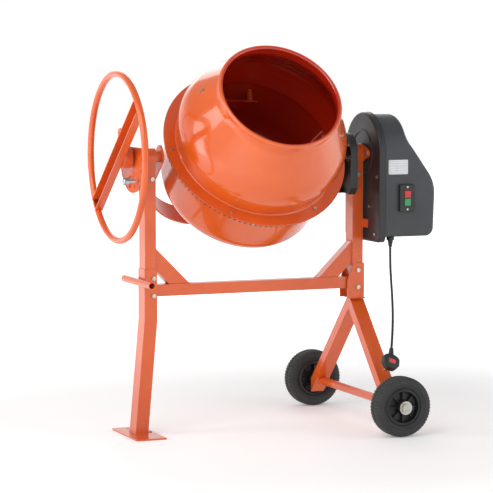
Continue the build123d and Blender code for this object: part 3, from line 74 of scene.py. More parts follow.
def srgb_to_linear(code: str) -> tuple[float, float, float, float]:
    """Turn an sRGB hex colour into linear RGBA.

    Args:
        code: Six hex digits, with or without a leading hash.

    Returns:
        The colour as linear red, green, blue and an alpha of one.
    """
    digits = code.lstrip("#")
    channels = [int(digits[i:i + 2], 16) / 255.0 for i in (0, 2, 4)]
    linear = [c / 12.92 if c <= 0.04045 else ((c + 0.055) / 1.055) ** 2.4 for c in channels]
    return (linear[0], linear[1], linear[2], 1.0)


def add_node(tree: bpy.types.NodeTree, kind: str, settings: dict[str, object] | None = None,
             links: dict[str, bpy.types.NodeSocket] | None = None) -> bpy.types.Node:
    """Add one node with its settings and the links into it.

    Args:
        tree: Node tree that gets the node.
        kind: Blender's name of the node type.
        settings: Values by input name, or by attribute name where no input has it.
        links: Output sockets by the name of the input they feed.

    Returns:
        The new node.
    """
    node = tree.nodes.new(kind)
    for name, value in (settings or {}).items():
        if name in node.inputs:
            node.inputs[name].default_value = value
        else:
            setattr(node, name, value)
    for name, socket in (links or {}).items():
        tree.links.new(socket, node.inputs[name])
    return node


@dataclass(frozen=True)
class Finish:
    """One real material and how its surface was made.

    Attributes:
        name: The material's common name.
        colour: Main sRGB colour.
        shade: Second sRGB colour that the main one drifts towards.
        grain: How the surface was made.
        grain_mm: Size of one grain of its relief.
        relief: Strength of the relief.
        roughness: Mean roughness.
        spread: How far the roughness drifts each way.
        metallic: One for bare metals.
        coat: Weight of a clear or glossy top layer.
        drift_mm: Size of the patches in which colour and roughness drift.
        dust: Share of pale dust that settles on faces that look up.
        painted_interior_shade: sRGB colour of the painted shade on faces that look at the drum's axis, or empty
            for none.
    """

    name: str
    colour: str
    shade: str
    grain: Grain
    grain_mm: float
    relief: float
    roughness: float
    spread: float = 0.05
    metallic: float = 0.0
    coat: float = 0.0
    drift_mm: float = 90.0
    dust: float = 0.0
    painted_interior_shade: str = ""

    def build(self) -> bpy.types.Material:
        """Make the finish as a node material.

        Returns:
            The material, with colour, roughness and relief from real sizes.
        """
        material = bpy.data.materials.new(self.name)
        material.use_nodes = True
        tree = material.node_tree
        tree.nodes.clear()
        place = add_node(tree, "ShaderNodeTexCoord").outputs["Object"]
        patches = add_node(tree, "ShaderNodeTexNoise",
                           {"Scale": 1000.0 / self.drift_mm, "Detail": 4.0, "Roughness": 0.6},
                           {"Vector": place}).outputs["Fac"]
        share = add_node(tree, "ShaderNodeMapRange", {"From Min": 0.35, "From Max": 0.68},
                         {"Value": patches}).outputs["Result"]
        colour = add_node(tree, "ShaderNodeMix", {"data_type": "RGBA"})
        self.set_mix(tree, colour, share, srgb_to_linear(self.colour), srgb_to_linear(self.shade))
        tint = colour.outputs[2]
        # Painted shade: faces that look at the drum's axis turn deep red, for the dim light inside the drum.
        if self.painted_interior_shade:
            tint = self.add_painted_interior_shade(tree, tint, place)
        if self.dust > 0.0:
            tint = self.add_dust(tree, tint, place)
        rough = add_node(tree, "ShaderNodeMapRange",
                         {"From Min": 0.3, "From Max": 0.7, "To Min": self.roughness - self.spread,
                          "To Max": self.roughness + self.spread}, {"Value": patches}).outputs["Result"]
        relief = self.add_relief(tree, place)
        shader = add_node(tree, "ShaderNodeBsdfPrincipled",
                          {"Metallic": self.metallic, "Coat Weight": self.coat, "Coat Roughness": 0.06},
                          {"Base Color": tint, "Roughness": rough, "Normal": relief})
        add_node(tree, "ShaderNodeOutputMaterial", links={"Surface": shader.outputs["BSDF"]})
        return material

    @staticmethod
    def set_mix(tree: bpy.types.NodeTree, mix: bpy.types.Node, share: bpy.types.NodeSocket,
                first: object, second: object) -> None:
        """Feed a colour mix node, whose sockets share names between its data types.

        Args:
            tree: Node tree of the mix node.
            mix: The mix node, set to colours.
            share: Socket that gives the second colour's share.
            first: Colour or socket at share zero.
            second: Colour or socket at share one.
        """
        tree.links.new(share, mix.inputs[0])
        for socket, value in ((mix.inputs[6], first), (mix.inputs[7], second)):
            if isinstance(value, bpy.types.NodeSocket):
                tree.links.new(value, socket)
            else:
                socket.default_value = value

    def add_painted_interior_shade(self, tree: bpy.types.NodeTree, tint: bpy.types.NodeSocket,
                   place: bpy.types.NodeSocket) -> bpy.types.NodeSocket:
        """Paint a deep red shade on faces that look at the drum's axis, for the dim red light inside the drum.

        Args:
            tree: Node tree of the material.
            tint: Colour of the outer faces.
            place: Object coordinates.

        Returns:
            The colour with the painted shade inside the drum.
        """
        def vector(operation: str, first: object, second: object, output: str) -> bpy.types.NodeSocket:
            """Add one vector sum and return its result."""
            node = add_node(tree, "ShaderNodeVectorMath", {"operation": operation})
            for socket, value in zip(node.inputs, (first, second)):
                if isinstance(value, bpy.types.NodeSocket):
                    tree.links.new(value, socket)
                else:
                    socket.default_value = value
            return node.outputs[output]

        normal = add_node(tree, "ShaderNodeTexCoord").outputs["Normal"]
        reach = vector("SUBTRACT", place, tuple(PIVOT), "Vector")
        along = vector("PROJECT", reach, tuple(DRUM_AXIS), "Vector")
        radial = vector("NORMALIZE", vector("SUBTRACT", reach, along, "Vector"), (0.0, 0.0, 0.0), "Vector")
        facing = vector("DOT_PRODUCT", radial, normal, "Value")
        # Share of the painted shade: none on faces that look away from the axis, full on faces that look at it.
        inner = add_node(tree, "ShaderNodeMapRange",
                         {"From Min": 0.02, "From Max": -0.12, "To Min": 0.0, "To Max": 1.0},
                         {"Value": facing}).outputs["Result"]
        mix = add_node(tree, "ShaderNodeMix", {"data_type": "RGBA"})
        self.set_mix(tree, mix, inner, tint, srgb_to_linear(self.painted_interior_shade))
        return mix.outputs[2]

    def add_dust(self, tree: bpy.types.NodeTree, tint: bpy.types.NodeSocket,
                 place: bpy.types.NodeSocket) -> bpy.types.NodeSocket:
        """Lay a thin, broken film of cement dust on faces that look up.

        Args:
            tree: Node tree of the material.
            tint: Colour under the dust.
            place: Object coordinates.

        Returns:
            The colour with the dust on it.
        """
        normal = add_node(tree, "ShaderNodeNewGeometry").outputs["Normal"]
        height = add_node(tree, "ShaderNodeSeparateXYZ", links={"Vector": normal}).outputs["Z"]
        up = add_node(tree, "ShaderNodeMapRange", {"From Min": 0.55, "From Max": 1.0},
                      {"Value": height}).outputs["Result"]
        broken = add_node(tree, "ShaderNodeTexNoise", {"Scale": 1000.0 / 14.0, "Detail": 6.0},
                          {"Vector": place}).outputs["Fac"]
        film = add_node(tree, "ShaderNodeMath", {"operation": "MULTIPLY"})
        tree.links.new(up, film.inputs[0])
        tree.links.new(broken, film.inputs[1])
        thin = add_node(tree, "ShaderNodeMath", {"operation": "MULTIPLY"})
        tree.links.new(film.outputs[0], thin.inputs[0])
        thin.inputs[1].default_value = self.dust
        mix = add_node(tree, "ShaderNodeMix", {"data_type": "RGBA"})
        self.set_mix(tree, mix, thin.outputs[0], tint, srgb_to_linear("#B9B4AB"))
        return mix.outputs[2]

    def add_relief(self, tree: bpy.types.NodeTree, place: bpy.types.NodeSocket) -> bpy.types.NodeSocket:
        """Add the surface's relief at its real grain size.

        Args:
            tree: Node tree of the material.
            place: Object coordinates.

        Returns:
            The socket with the bumped normal.
        """
        scale = 1000.0 / self.grain_mm
        if self.grain in (Grain.SPARK, Grain.CAST):
            bumps = add_node(tree, "ShaderNodeTexVoronoi", {"Scale": scale, "feature": "SMOOTH_F1"},
                             {"Vector": place}).outputs["Distance"]
        elif self.grain is Grain.MACHINED:
            bumps = add_node(tree, "ShaderNodeTexNoise", {"Scale": scale, "Detail": 2.0, "Distortion": 1.5},
                             {"Vector": place}).outputs["Fac"]
        else:
            bumps = add_node(tree, "ShaderNodeTexNoise", {"Scale": scale, "Detail": 2.0},
                             {"Vector": place}).outputs["Fac"]
        return add_node(tree, "ShaderNodeBump",
                        {"Strength": self.relief, "Distance": self.grain_mm * 0.1 * MM},
                        {"Height": bumps}).outputs["Normal"]


# Polyester powder coat over welded steel tube: saturated orange under a thin glossy skin
# whose slow orange peel softens the reflections of the lamps.
FRAME_COAT = Finish("orange_powder_coat", "#DA5A16", "#CE5112", Grain.ORANGE_PEEL, 6.0, 0.10, 0.30,
                    spread=0.04, coat=0.45, drift_mm=160.0, dust=0.05)
# The drum's spun sheet takes the coat more smoothly, so its highlights run longer and cleaner.
# Its faces that look at the drum's axis get a deep red painted shade for the dim light inside the drum.
DRUM_COAT = Finish("orange_powder_coat_drum_with_painted_shade", "#DC5E18", "#D15413", Grain.ORANGE_PEEL, 9.0, 0.06, 0.22,
                   spread=0.03, coat=0.70, drift_mm=220.0, dust=0.04, painted_interior_shade="#B0200A")
# Sand-cast grey iron: dull dark metal with a coarse skin, greased where the teeth mesh.
GEAR_IRON = Finish("grey_cast_iron", "#5B5754", "#45413E", Grain.CAST, 1.6, 0.35, 0.48, metallic=0.9)
# Bright zinc plate on bolts: pale metal, slightly warm, with a soft spangle.
ZINC = Finish("zinc_plated_steel", "#CFCBC0", "#B7B2A4", Grain.PLATED, 2.0, 0.12, 0.30, metallic=1.0,
              drift_mm=6.0)
# Turned bright steel: cool metal with fine tool marks.
STEEL = Finish("turned_steel", "#BDBFC2", "#A2A4A8", Grain.MACHINED, 1.2, 0.12, 0.26, metallic=1.0,
               drift_mm=12.0)
# Sintered bronze bush: matt warm brown metal, oil dark in its pores.
BRONZE = Finish("sintered_bronze", "#B08A52", "#8C6A3C", Grain.CAST, 0.9, 0.25, 0.42, metallic=1.0,
                drift_mm=8.0)
# Injection-moulded ABS of the cover: charcoal, a fine spark texture that spreads the light.
COVER_ABS = Finish("moulded_abs_charcoal", "#3A3C40", "#333539", Grain.SPARK, 1.3, 0.22, 0.46,
                   spread=0.04, drift_mm=120.0, dust=0.05)
# The pan behind it is the same plastic from a smoother, blacker mould.
PAN_ABS = Finish("moulded_abs_black", "#26272A", "#202123", Grain.SPARK, 1.3, 0.16, 0.40,
                 spread=0.04, drift_mm=90.0, dust=0.03)
# Solid rubber tyre: near black, dry, with a chalky bloom in patches.
TYRE_RUBBER = Finish("solid_rubber", "#27282A", "#323335", Grain.CAST, 1.8, 0.20, 0.62, spread=0.06,
                     drift_mm=35.0, dust=0.10)
# Glass-filled nylon wheel centre: blacker and a little glossier than the tyre.
HUB_NYLON = Finish("glass_filled_nylon", "#17181A", "#202124", Grain.SPARK, 1.0, 0.18, 0.40,
                   drift_mm=30.0, dust=0.05)
# PVC of the lead, gland and plug: soft black with a slow sheen.
LEAD_PVC = Finish("soft_pvc_black", "#161617", "#1D1D1F", Grain.SPARK, 0.8, 0.12, 0.42, drift_mm=25.0)
# Ribbed belt rubber.
BELT_RUBBER = Finish("belt_rubber", "#1B1B1C", "#242425", Grain.CAST, 0.9, 0.25, 0.58, drift_mm=20.0)
# Pressure die-cast aluminium: pale grey metal with a faint flow pattern.
CAST_ALUMINIUM = Finish("die_cast_aluminium", "#C3C5C8", "#AFB1B5", Grain.CAST, 1.5, 0.22, 0.38,
                        metallic=1.0, drift_mm=25.0)
# Silver polyester rating film: smooth and pale.
SILVER_FILM = Finish("silver_polyester_film", "#D3D6DA", "#C8CBD0", Grain.PRINTED, 3.0, 0.04, 0.30,
                     drift_mm=20.0)
# Printing ink on the film and on the switch.
INK_GREY = Finish("printing_ink_grey", "#8C9096", "#7F838A", Grain.PRINTED, 1.0, 0.04, 0.45, drift_mm=4.0)
# Switch housing: polycarbonate blend, smoother than the cover.
SWITCH_PC = Finish("moulded_polycarbonate", "#232427", "#1C1D1F", Grain.SPARK, 0.9, 0.12, 0.34,
                   drift_mm=15.0)
# Stop and start caps: gloss ABS, bright enough to find at a glance, with a small sharp highlight.
STOP_RED = Finish("gloss_abs_red", "#C5202A", "#B51B25", Grain.PRINTED, 4.0, 0.05, 0.22, coat=0.4,
                  drift_mm=12.0)
START_GREEN = Finish("gloss_abs_green", "#1F8F4E", "#1A8044", Grain.PRINTED, 4.0, 0.05, 0.22, coat=0.4,
                     drift_mm=12.0)
# Fuse cover of the plug: duller red moulding that breaks up its black face.
FUSE_RED = Finish("fuse_cover_red", "#D8433E", "#CB3A36", Grain.PRINTED, 3.0, 0.05, 0.35, drift_mm=6.0)
# Nickel-plated brass pins.
PIN_BRASS = Finish("plated_brass", "#D8C690", "#C7B47A", Grain.MACHINED, 0.8, 0.08, 0.22, metallic=1.0,
                   drift_mm=6.0)

SLOT_FINISH: dict[str, Finish] = {
    "orange_coat": FRAME_COAT, "orange_drum": DRUM_COAT, "gear_iron": GEAR_IRON, "zinc": ZINC,
    "steel": STEEL, "bronze": BRONZE, "black_shell": COVER_ABS, "black_pan": PAN_ABS,
    "tyre": TYRE_RUBBER, "wheel_hub": HUB_NYLON, "rubber": LEAD_PVC, "belt": BELT_RUBBER,
    "aluminium_cast": CAST_ALUMINIUM, "label": SILVER_FILM, "switch": SWITCH_PC,
    "red_button": STOP_RED, "green_button": START_GREEN, "brass": PIN_BRASS,
}


class Finishes:
    """The finishes of the machine, each made into a material once."""

    def __init__(self) -> None:
        """Start with no material made."""
        self.made: dict[str, bpy.types.Material] = {}

    def get(self, finish: Finish) -> bpy.types.Material:
        """Return a finish's material, making it the first time."""
        if finish.name not in self.made:
            self.made[finish.name] = finish.build()
        return self.made[finish.name]

    def dress(self, piece: bpy.types.Object, finish: Finish) -> None:
        """Give a piece one finish in all its slots."""
        piece.data.materials.clear()
        piece.data.materials.append(self.get(finish))


FINISHES = Finishes()


def smooth_by_angle(mesh: bpy.types.Mesh, degrees: float = 32.0) -> None:
    """Shade a mesh smooth and keep its creases sharp.

    Args:
        mesh: Mesh to shade.
        degrees: Least angle between faces that stays a crease.
    """
    mesh.shade_smooth()
    mesh.set_sharp_from_angle(angle=math.radians(degrees))


def make_piece(name: str, mesh_maker: Callable[[bmesh.types.BMesh], None], finish: Finish,
               body: str, degrees: float = 32.0) -> bpy.types.Object:
    """Build one mesh piece, finish it and fix it to its body.

    Args:
        name: Name of the piece.
        mesh_maker: Function that fills an empty bmesh, in metres in the machine's frame.
        finish: The piece's finish.
        body: Moving body that it rides on.
        degrees: Crease angle of its shading.

    Returns:
        The new object.
    """
    mesh = bpy.data.meshes.new(name)
    shape = bmesh.new()
    mesh_maker(shape)
    bmesh.ops.recalc_face_normals(shape, faces=shape.faces)
    shape.to_mesh(mesh)
    shape.free()
    smooth_by_angle(mesh, degrees)
    piece = bpy.data.objects.new(name, mesh)
    bpy.context.scene.collection.objects.link(piece)
    FINISHES.dress(piece, finish)
    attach(piece, body)
    LOG.info("%s: %d faces on %s", name, len(mesh.polygons), body)
    return piece


def bridge_rings(shape: bmesh.types.BMesh, rings: Sequence[Sequence[bmesh.types.BMVert]],
                 closed: bool) -> None:
    """Join rings of vertices into a skin of quads.

    Args:
        shape: Mesh that gets the faces.
        rings: Rings with the same number of vertices each.
        closed: True to join the last ring to the first, False to cap both ends.
    """
    count = len(rings[0])
    last = len(rings) if closed else len(rings) - 1
    for i in range(last):
        ring, following = rings[i], rings[(i + 1) % len(rings)]
        for k in range(count):
            shape.faces.new((ring[k], ring[(k + 1) % count], following[(k + 1) % count], following[k]))
    if not closed:
        shape.faces.new(list(reversed(rings[0])))
        shape.faces.new(rings[-1])


def tube_along(shape: bmesh.types.BMesh, points: Sequence[Vector], radii: Sequence[float],
               sides: int = 10) -> None:
    """Add a closed round bar through points, with a radius at each.

    Args:
        shape: Mesh that gets the bar.
        points: Points on the bar's centre line.
        radii: Radius at each point.
        sides: Number of faces round it.
    """
    rings = []
    for i, point in enumerate(points):
        ahead = points[min(i + 1, len(points) - 1)] - points[max(i - 1, 0)]
        turn = ahead.to_track_quat("Z", "Y").to_matrix()
        rings.append([shape.verts.new(point + turn @ Vector((radii[i] * math.cos(2 * math.pi * k / sides),
                                                             radii[i] * math.sin(2 * math.pi * k / sides),
                                                             0.0))) for k in range(sides)])
    bridge_rings(shape, rings, closed=False)


def turned_body(shape: bmesh.types.BMesh, centre: Vector, axis: Vector,
                profile: Sequence[tuple[float, float]], steps: int,
                radius_at: Callable[[int, int, float], float] | None = None) -> None:
    """Add a body turned about an axis from a closed profile.

    Args:
        shape: Mesh that gets the body.
        centre: Point on the axis where the profile's second value is zero.
        axis: Unit vector along the axis.
        profile: Closed loop of (radius, place along the axis), in metres.
        steps: Number of steps round the axis.
        radius_at: Optional change of a radius, from step, profile index and radius.
    """
    turn = axis.to_track_quat("Z", "Y").to_matrix()
    rings = []
    for step in range(steps):
        angle = 2 * math.pi * step / steps
        ring = []
        for index, (radius, along) in enumerate(profile):
            real = radius_at(step, index, radius) if radius_at else radius
            ring.append(shape.verts.new(centre + turn @ Vector((real * math.cos(angle),
                                                                real * math.sin(angle), along))))
        rings.append(ring)
    bridge_rings(shape, rings, closed=True)


def rounded_slab(shape: bmesh.types.BMesh, low: Vector, high: Vector, bevel: float,
                 segments: int = 3) -> None:
    """Add a box between two corners with its edges rounded.

    Args:
        shape: Mesh that gets the box.
        low: Lowest corner.
        high: Highest corner.
        bevel: Edge radius.
        segments: Steps in each rounded edge.
    """
    size = high - low
    place = Matrix.Translation((low + high) / 2) @ Matrix.Diagonal((*size, 1.0))
    verts = bmesh.ops.create_cube(shape, size=1.0, matrix=place)["verts"]
    edges = list({edge for vert in verts for edge in vert.link_edges})
    bmesh.ops.bevel(shape, geom=edges, offset=bevel, segments=segments, profile=0.5, affect="EDGES")


# name, place in metres, width and height in metres, watts
SOFTBOXES = (
    ("key_softbox", (-2.6, -2.2, 3.4), (2.6, 2.0), 62.0),
    ("left_softbox", (-3.4, 0.2, 1.5), (1.2, 2.6), 34.0),
    ("right_fill", (3.2, -2.6, 2.2), (2.0, 2.4), 20.0),
    ("back_rim", (0.8, 3.6, 2.8), (3.0, 1.6), 26.0),
)


@dataclass
class Studio:
    """Camera, lights, floor and surroundings.

    Attributes:
        eye: Camera position in metres.
        turn_deg: Heading of the view, from +Y towards +X.
        dip_deg: Angle of the view below level.
        lens_mm: Focal length on a 36 mm wide sensor.
        overhead: Brightness of the sky above the white horizon.
    """

    eye: Vector = field(default_factory=lambda: Vector((-2.6652, -6.2978, 1.1555)))
    turn_deg: float = 22.32
    dip_deg: float = 5.06
    lens_mm: float = 164.9
    overhead: float = 0.42

    def build(self) -> None:
        """Set up the view, the lights and the floor."""
        self.make_camera()
        self.make_world()
        self.make_floor()
        for name, place, size, watts in SOFTBOXES:
            self.make_lamp(name, place, size, watts)

    def make_camera(self) -> None:
        """Place the camera and make it the scene's own."""
        lens = bpy.data.cameras.new("view_camera")
        lens.lens = self.lens_mm
        lens.sensor_width = 36.0
        lens.clip_end = 60.0
        camera = bpy.data.objects.new("view_camera", lens)
        camera.location = self.eye
        camera.rotation_euler = (math.radians(90.0 - self.dip_deg), 0.0, -math.radians(self.turn_deg))
        bpy.context.scene.collection.objects.link(camera)
        bpy.context.scene.camera = camera

    def make_world(self) -> None:
        """Surround the machine with a white horizon under a dimmer sky."""
        world = bpy.data.worlds.new("studio_sky")
        world.use_nodes = True
        tree = world.node_tree
        tree.nodes.clear()
        toward = add_node(tree, "ShaderNodeTexCoord").outputs["Generated"]
        height = add_node(tree, "ShaderNodeSeparateXYZ", links={"Vector": toward}).outputs["Z"]
        away = add_node(tree, "ShaderNodeMath", {"operation": "ABSOLUTE"})
        tree.links.new(height, away.inputs[0])
        glow = add_node(tree, "ShaderNodeMapRange",
                        {"From Min": 0.20, "From Max": 0.50, "To Min": 1.0, "To Max": self.overhead},
                        {"Value": away.outputs[0]}).outputs["Result"]
        sky = add_node(tree, "ShaderNodeBackground", {"Color": srgb_to_linear("#FFFFFF")},
                       {"Strength": glow})
        add_node(tree, "ShaderNodeOutputWorld", links={"Surface": sky.outputs["Background"]})
        bpy.context.scene.world = world
        bpy.context.scene.view_settings.view_transform = "Standard"

    @staticmethod
    def make_floor() -> None:
        """Lay a wide, pale, slightly mottled floor."""
        mesh = bpy.data.meshes.new("studio_floor")
        shape = bmesh.new()
        bmesh.ops.create_grid(shape, x_segments=8, y_segments=8, size=14.0)
        shape.to_mesh(mesh)
        shape.free()
        floor = bpy.data.objects.new("studio_floor", mesh)
        bpy.context.scene.collection.objects.link(floor)
        finish = Finish("matt_painted_floor", "#F7F7F7", "#F3F3F3", Grain.PRINTED, 8.0, 0.02, 0.75,
                        drift_mm=900.0)
        material = FINISHES.get(finish)
        Studio.brighten_far_floor(material)
        mesh.materials.append(material)

    @staticmethod
    def brighten_far_floor(material: bpy.types.Material) -> None:
        """Let the floor run out into white, away from the machine.

        Args:
            material: The floor's material.
        """
        tree = material.node_tree
        shader = next(node for node in tree.nodes if node.type == "BSDF_PRINCIPLED")
        place = add_node(tree, "ShaderNodeTexCoord").outputs["Object"]
        reach = add_node(tree, "ShaderNodeVectorMath", {"operation": "LENGTH"})
        tree.links.new(place, reach.inputs[0])
        glow = add_node(tree, "ShaderNodeMapRange",
                        {"From Min": 0.9, "From Max": 3.6, "To Min": 0.18, "To Max": 0.9},
                        {"Value": reach.outputs["Value"]}).outputs["Result"]
        shader.inputs["Emission Color"].default_value = srgb_to_linear("#FFFFFF")
        tree.links.new(glow, shader.inputs["Emission Strength"])

    @staticmethod
    def make_lamp(name: str, place: tuple[float, float, float], size: tuple[float, float],
                  watts: float) -> None:
        """Hang a rectangular softbox that looks at the drum.

        Args:
            name: Name of the lamp.
            place: Where it hangs, in metres.
            size: Width and height of its face.
            watts: Power.
        """
        light = bpy.data.lights.new(name, "AREA")
        light.shape = "RECTANGLE"
        light.size, light.size_y = size
        light.energy = watts
        lamp = bpy.data.objects.new(name, light)
        lamp.location = place
        aim = Vector((0.0, 0.0, 0.75)) - Vector(place)
        lamp.rotation_euler = aim.to_track_quat("-Z", "Y").to_euler()
        bpy.context.scene.collection.objects.link(lamp)


@dataclass
class PowerLead:
    """The hanging lead with its ribbed gland and moulded plug.

    Attributes:
        route: Control points of the lead, in metres.
        radius: Radius of its sheath.
        length: Length of the lead along its route. Not used.
        rib_count: Number of ribs on the gland's tapered relief.
        relief_drop: Height of the gland's mouth below its nut's seat.
    """

    route: tuple[tuple[float, float, float], ...] = (
        (0.3545, -0.100, 0.545), (0.3545, -0.100, 0.492), (0.3525, -0.112, 0.440), (0.3455, -0.135, 0.390),
        (0.3335, -0.164, 0.341), (0.3175, -0.195, 0.292), (0.3025, -0.219, 0.250))
    radius: float = 3.75 * MM
    length: float = 0.330
    rib_count: int = 7
    relief_drop: float = 31 * MM

    def build(self) -> None:
        lead = self.make_lead()
        gland = self.make_gland()
        plug = self.make_plug()
        fuse = self.make_fuse_patch()

    def make_lead(self) -> bpy.types.Object:
        """Make the sheath as one smooth curve through its control points.

        Returns:
            The curve object.
        """
        curve = bpy.data.curves.new("power_lead", "CURVE")
        curve.dimensions = "3D"
        curve.resolution_u = 14
        curve.bevel_depth = self.radius
        curve.bevel_resolution = 6
        curve.use_fill_caps = True
        spline = curve.splines.new("NURBS")
        spline.points.add(len(self.route) - 1)
        for point, place in zip(spline.points, self.route):
            point.co = (*place, 1.0)
        spline.order_u = 3
        spline.use_endpoint_u = True
        lead = bpy.data.objects.new("power_lead", curve)
        bpy.context.scene.collection.objects.link(lead)
        FINISHES.dress(lead, LEAD_PVC)
        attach(lead, "stand")
        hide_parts("power_cord")
        return lead

    def make_gland(self) -> bpy.types.Object:
        """Make the gland: a nut under the cover and a tapered, ribbed strain relief.

        Returns:
            The gland's object.
        """
        low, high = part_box("cord_gland")
        centre = Vector((self.route[0][0], self.route[0][1], 0.0))
        top, foot = Vector(high).z, Vector(low).z
        seat = foot + self.relief_drop

        def fill(shape: bmesh.types.BMesh) -> None:
            """Turn the nut and the ribbed taper as one stepped bar."""
            points: list[Vector] = [centre + Vector((0, 0, top)), centre + Vector((0, 0, seat + 0.2 * MM)),
                                    centre + Vector((0, 0, seat))]
            radii = [7.6 * MM, 7.6 * MM, 11.2 * MM]
            points += [centre + Vector((0, 0, seat - 2 * MM)), centre + Vector((0, 0, seat - 9 * MM)),
                       centre + Vector((0, 0, seat - 10.5 * MM))]
            radii += [11.9 * MM, 11.9 * MM, 9.0 * MM]
            run = seat - 10.5 * MM - foot
            for rib in range(self.rib_count):
                for part, swell in ((0.1, 0.9), (0.35, 0.1), (0.6, 0.1), (0.85, 0.9)):
                    share = (rib + part) / self.rib_count
                    points.append(centre + Vector((0, 0, foot + run * (1 - share))))
                    radii.append((8.3 - 3.6 * share + swell * 0.5) * MM)
            tube_along(shape, points, radii, 32)

        gland = make_piece("lead_gland", fill, LEAD_PVC, "stand")
        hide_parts("cord_gland")
        return gland

    @property
    def plug_frame(self) -> Matrix:
        """Frame of the plug: Z along the lead's end, Y towards the machine's back."""
        end, before = Vector(self.route[-1]), Vector(self.route[-2])
        along = (end - before).normalized()
        across = Vector((0.0, -1.0, 0.0)).cross(along).normalized()
        back = along.cross(across)
        return Matrix.Translation(end) @ Matrix((across, back, along)).transposed().to_4x4()

    def make_plug(self) -> bpy.types.Object:
        """Make the moulded plug: ribbed neck, waisted grip and shouldered body.

        Returns:
            The plug's object.
        """
        frame_at = self.plug_frame
        # distance along the plug, half width, half thickness, roundness of the section
        sections = ((0.0, 5.2, 5.2, 2.0), (1, 6.4, 6.4, 2.0), (4, 6.6, 6.6, 2.0), (5, 5.9, 5.9, 2.0),
                    (6.5, 5.9, 5.9, 2.0), (7.5, 7.0, 6.9, 2.0), (10.5, 7.2, 7.0, 2.0), (11.5, 6.4, 6.2, 2.0),
                    (13, 6.4, 6.2, 2.0), (14, 7.6, 7.2, 2.2), (17, 7.8, 7.3, 2.2), (18, 7.0, 6.6, 2.4),
                    (19.5, 7.0, 6.6, 2.6), (21, 8.2, 7.4, 3.0), (24.5, 15.5, 8.5, 4.0), (27, 20.5, 10.4, 5.0),
                    (33, 26.0, 11.6, 6.0), (35.5, 26.9, 11.9, 6.5), (54, 26.9, 11.9, 6.5),
                    (57, 25.4, 11.8, 6.0), (67, 18.0, 10.6, 5.0), (70.5, 14.0, 9.6, 4.5),
                    (72, 11.5, 7.6, 4.0))

        def fill(shape: bmesh.types.BMesh) -> None:
            """Skin the sections as rounded rectangles."""
            sides = 48
            rings = []
            for along, half_w, half_t, power in sections:
                ring = []
                for k in range(sides):
                    angle = 2 * math.pi * (k + 0.5) / sides
                    c, s = math.cos(angle), math.sin(angle)
                    x = math.copysign(abs(c) ** (2 / power), c) * half_w * MM
                    y = math.copysign(abs(s) ** (2 / power), s) * half_t * MM
                    ring.append(shape.verts.new(frame_at @ Vector((x, y, along * MM))))
                rings.append(ring)
            bridge_rings(shape, rings, closed=False)

        plug = make_piece("mains_plug", fill, LEAD_PVC, "stand", 40.0)
        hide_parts("plug_body")
        return plug

    def make_fuse_patch(self) -> bpy.types.Object:
        """Make the small red fuse cover let into the plug's outer face."""
        frame_at = self.plug_frame
        front = -1.0 if (frame_at.to_3x3() @ Vector((0, 1, 0))).y > 0 else 1.0

        def fill(shape: bmesh.types.BMesh) -> None:
            """Round a thin slab and set it in the face."""
            rounded_slab(shape, Vector((-11 * MM, 11.2 * MM, 40 * MM)), Vector((11 * MM, 12.0 * MM, 53 * MM)),
                         0.35 * MM, 2)
            for vert in shape.verts:
                vert.co.y *= front
                vert.co = frame_at @ vert.co

        return make_piece("plug_fuse_cover", fill, FUSE_RED, "stand")


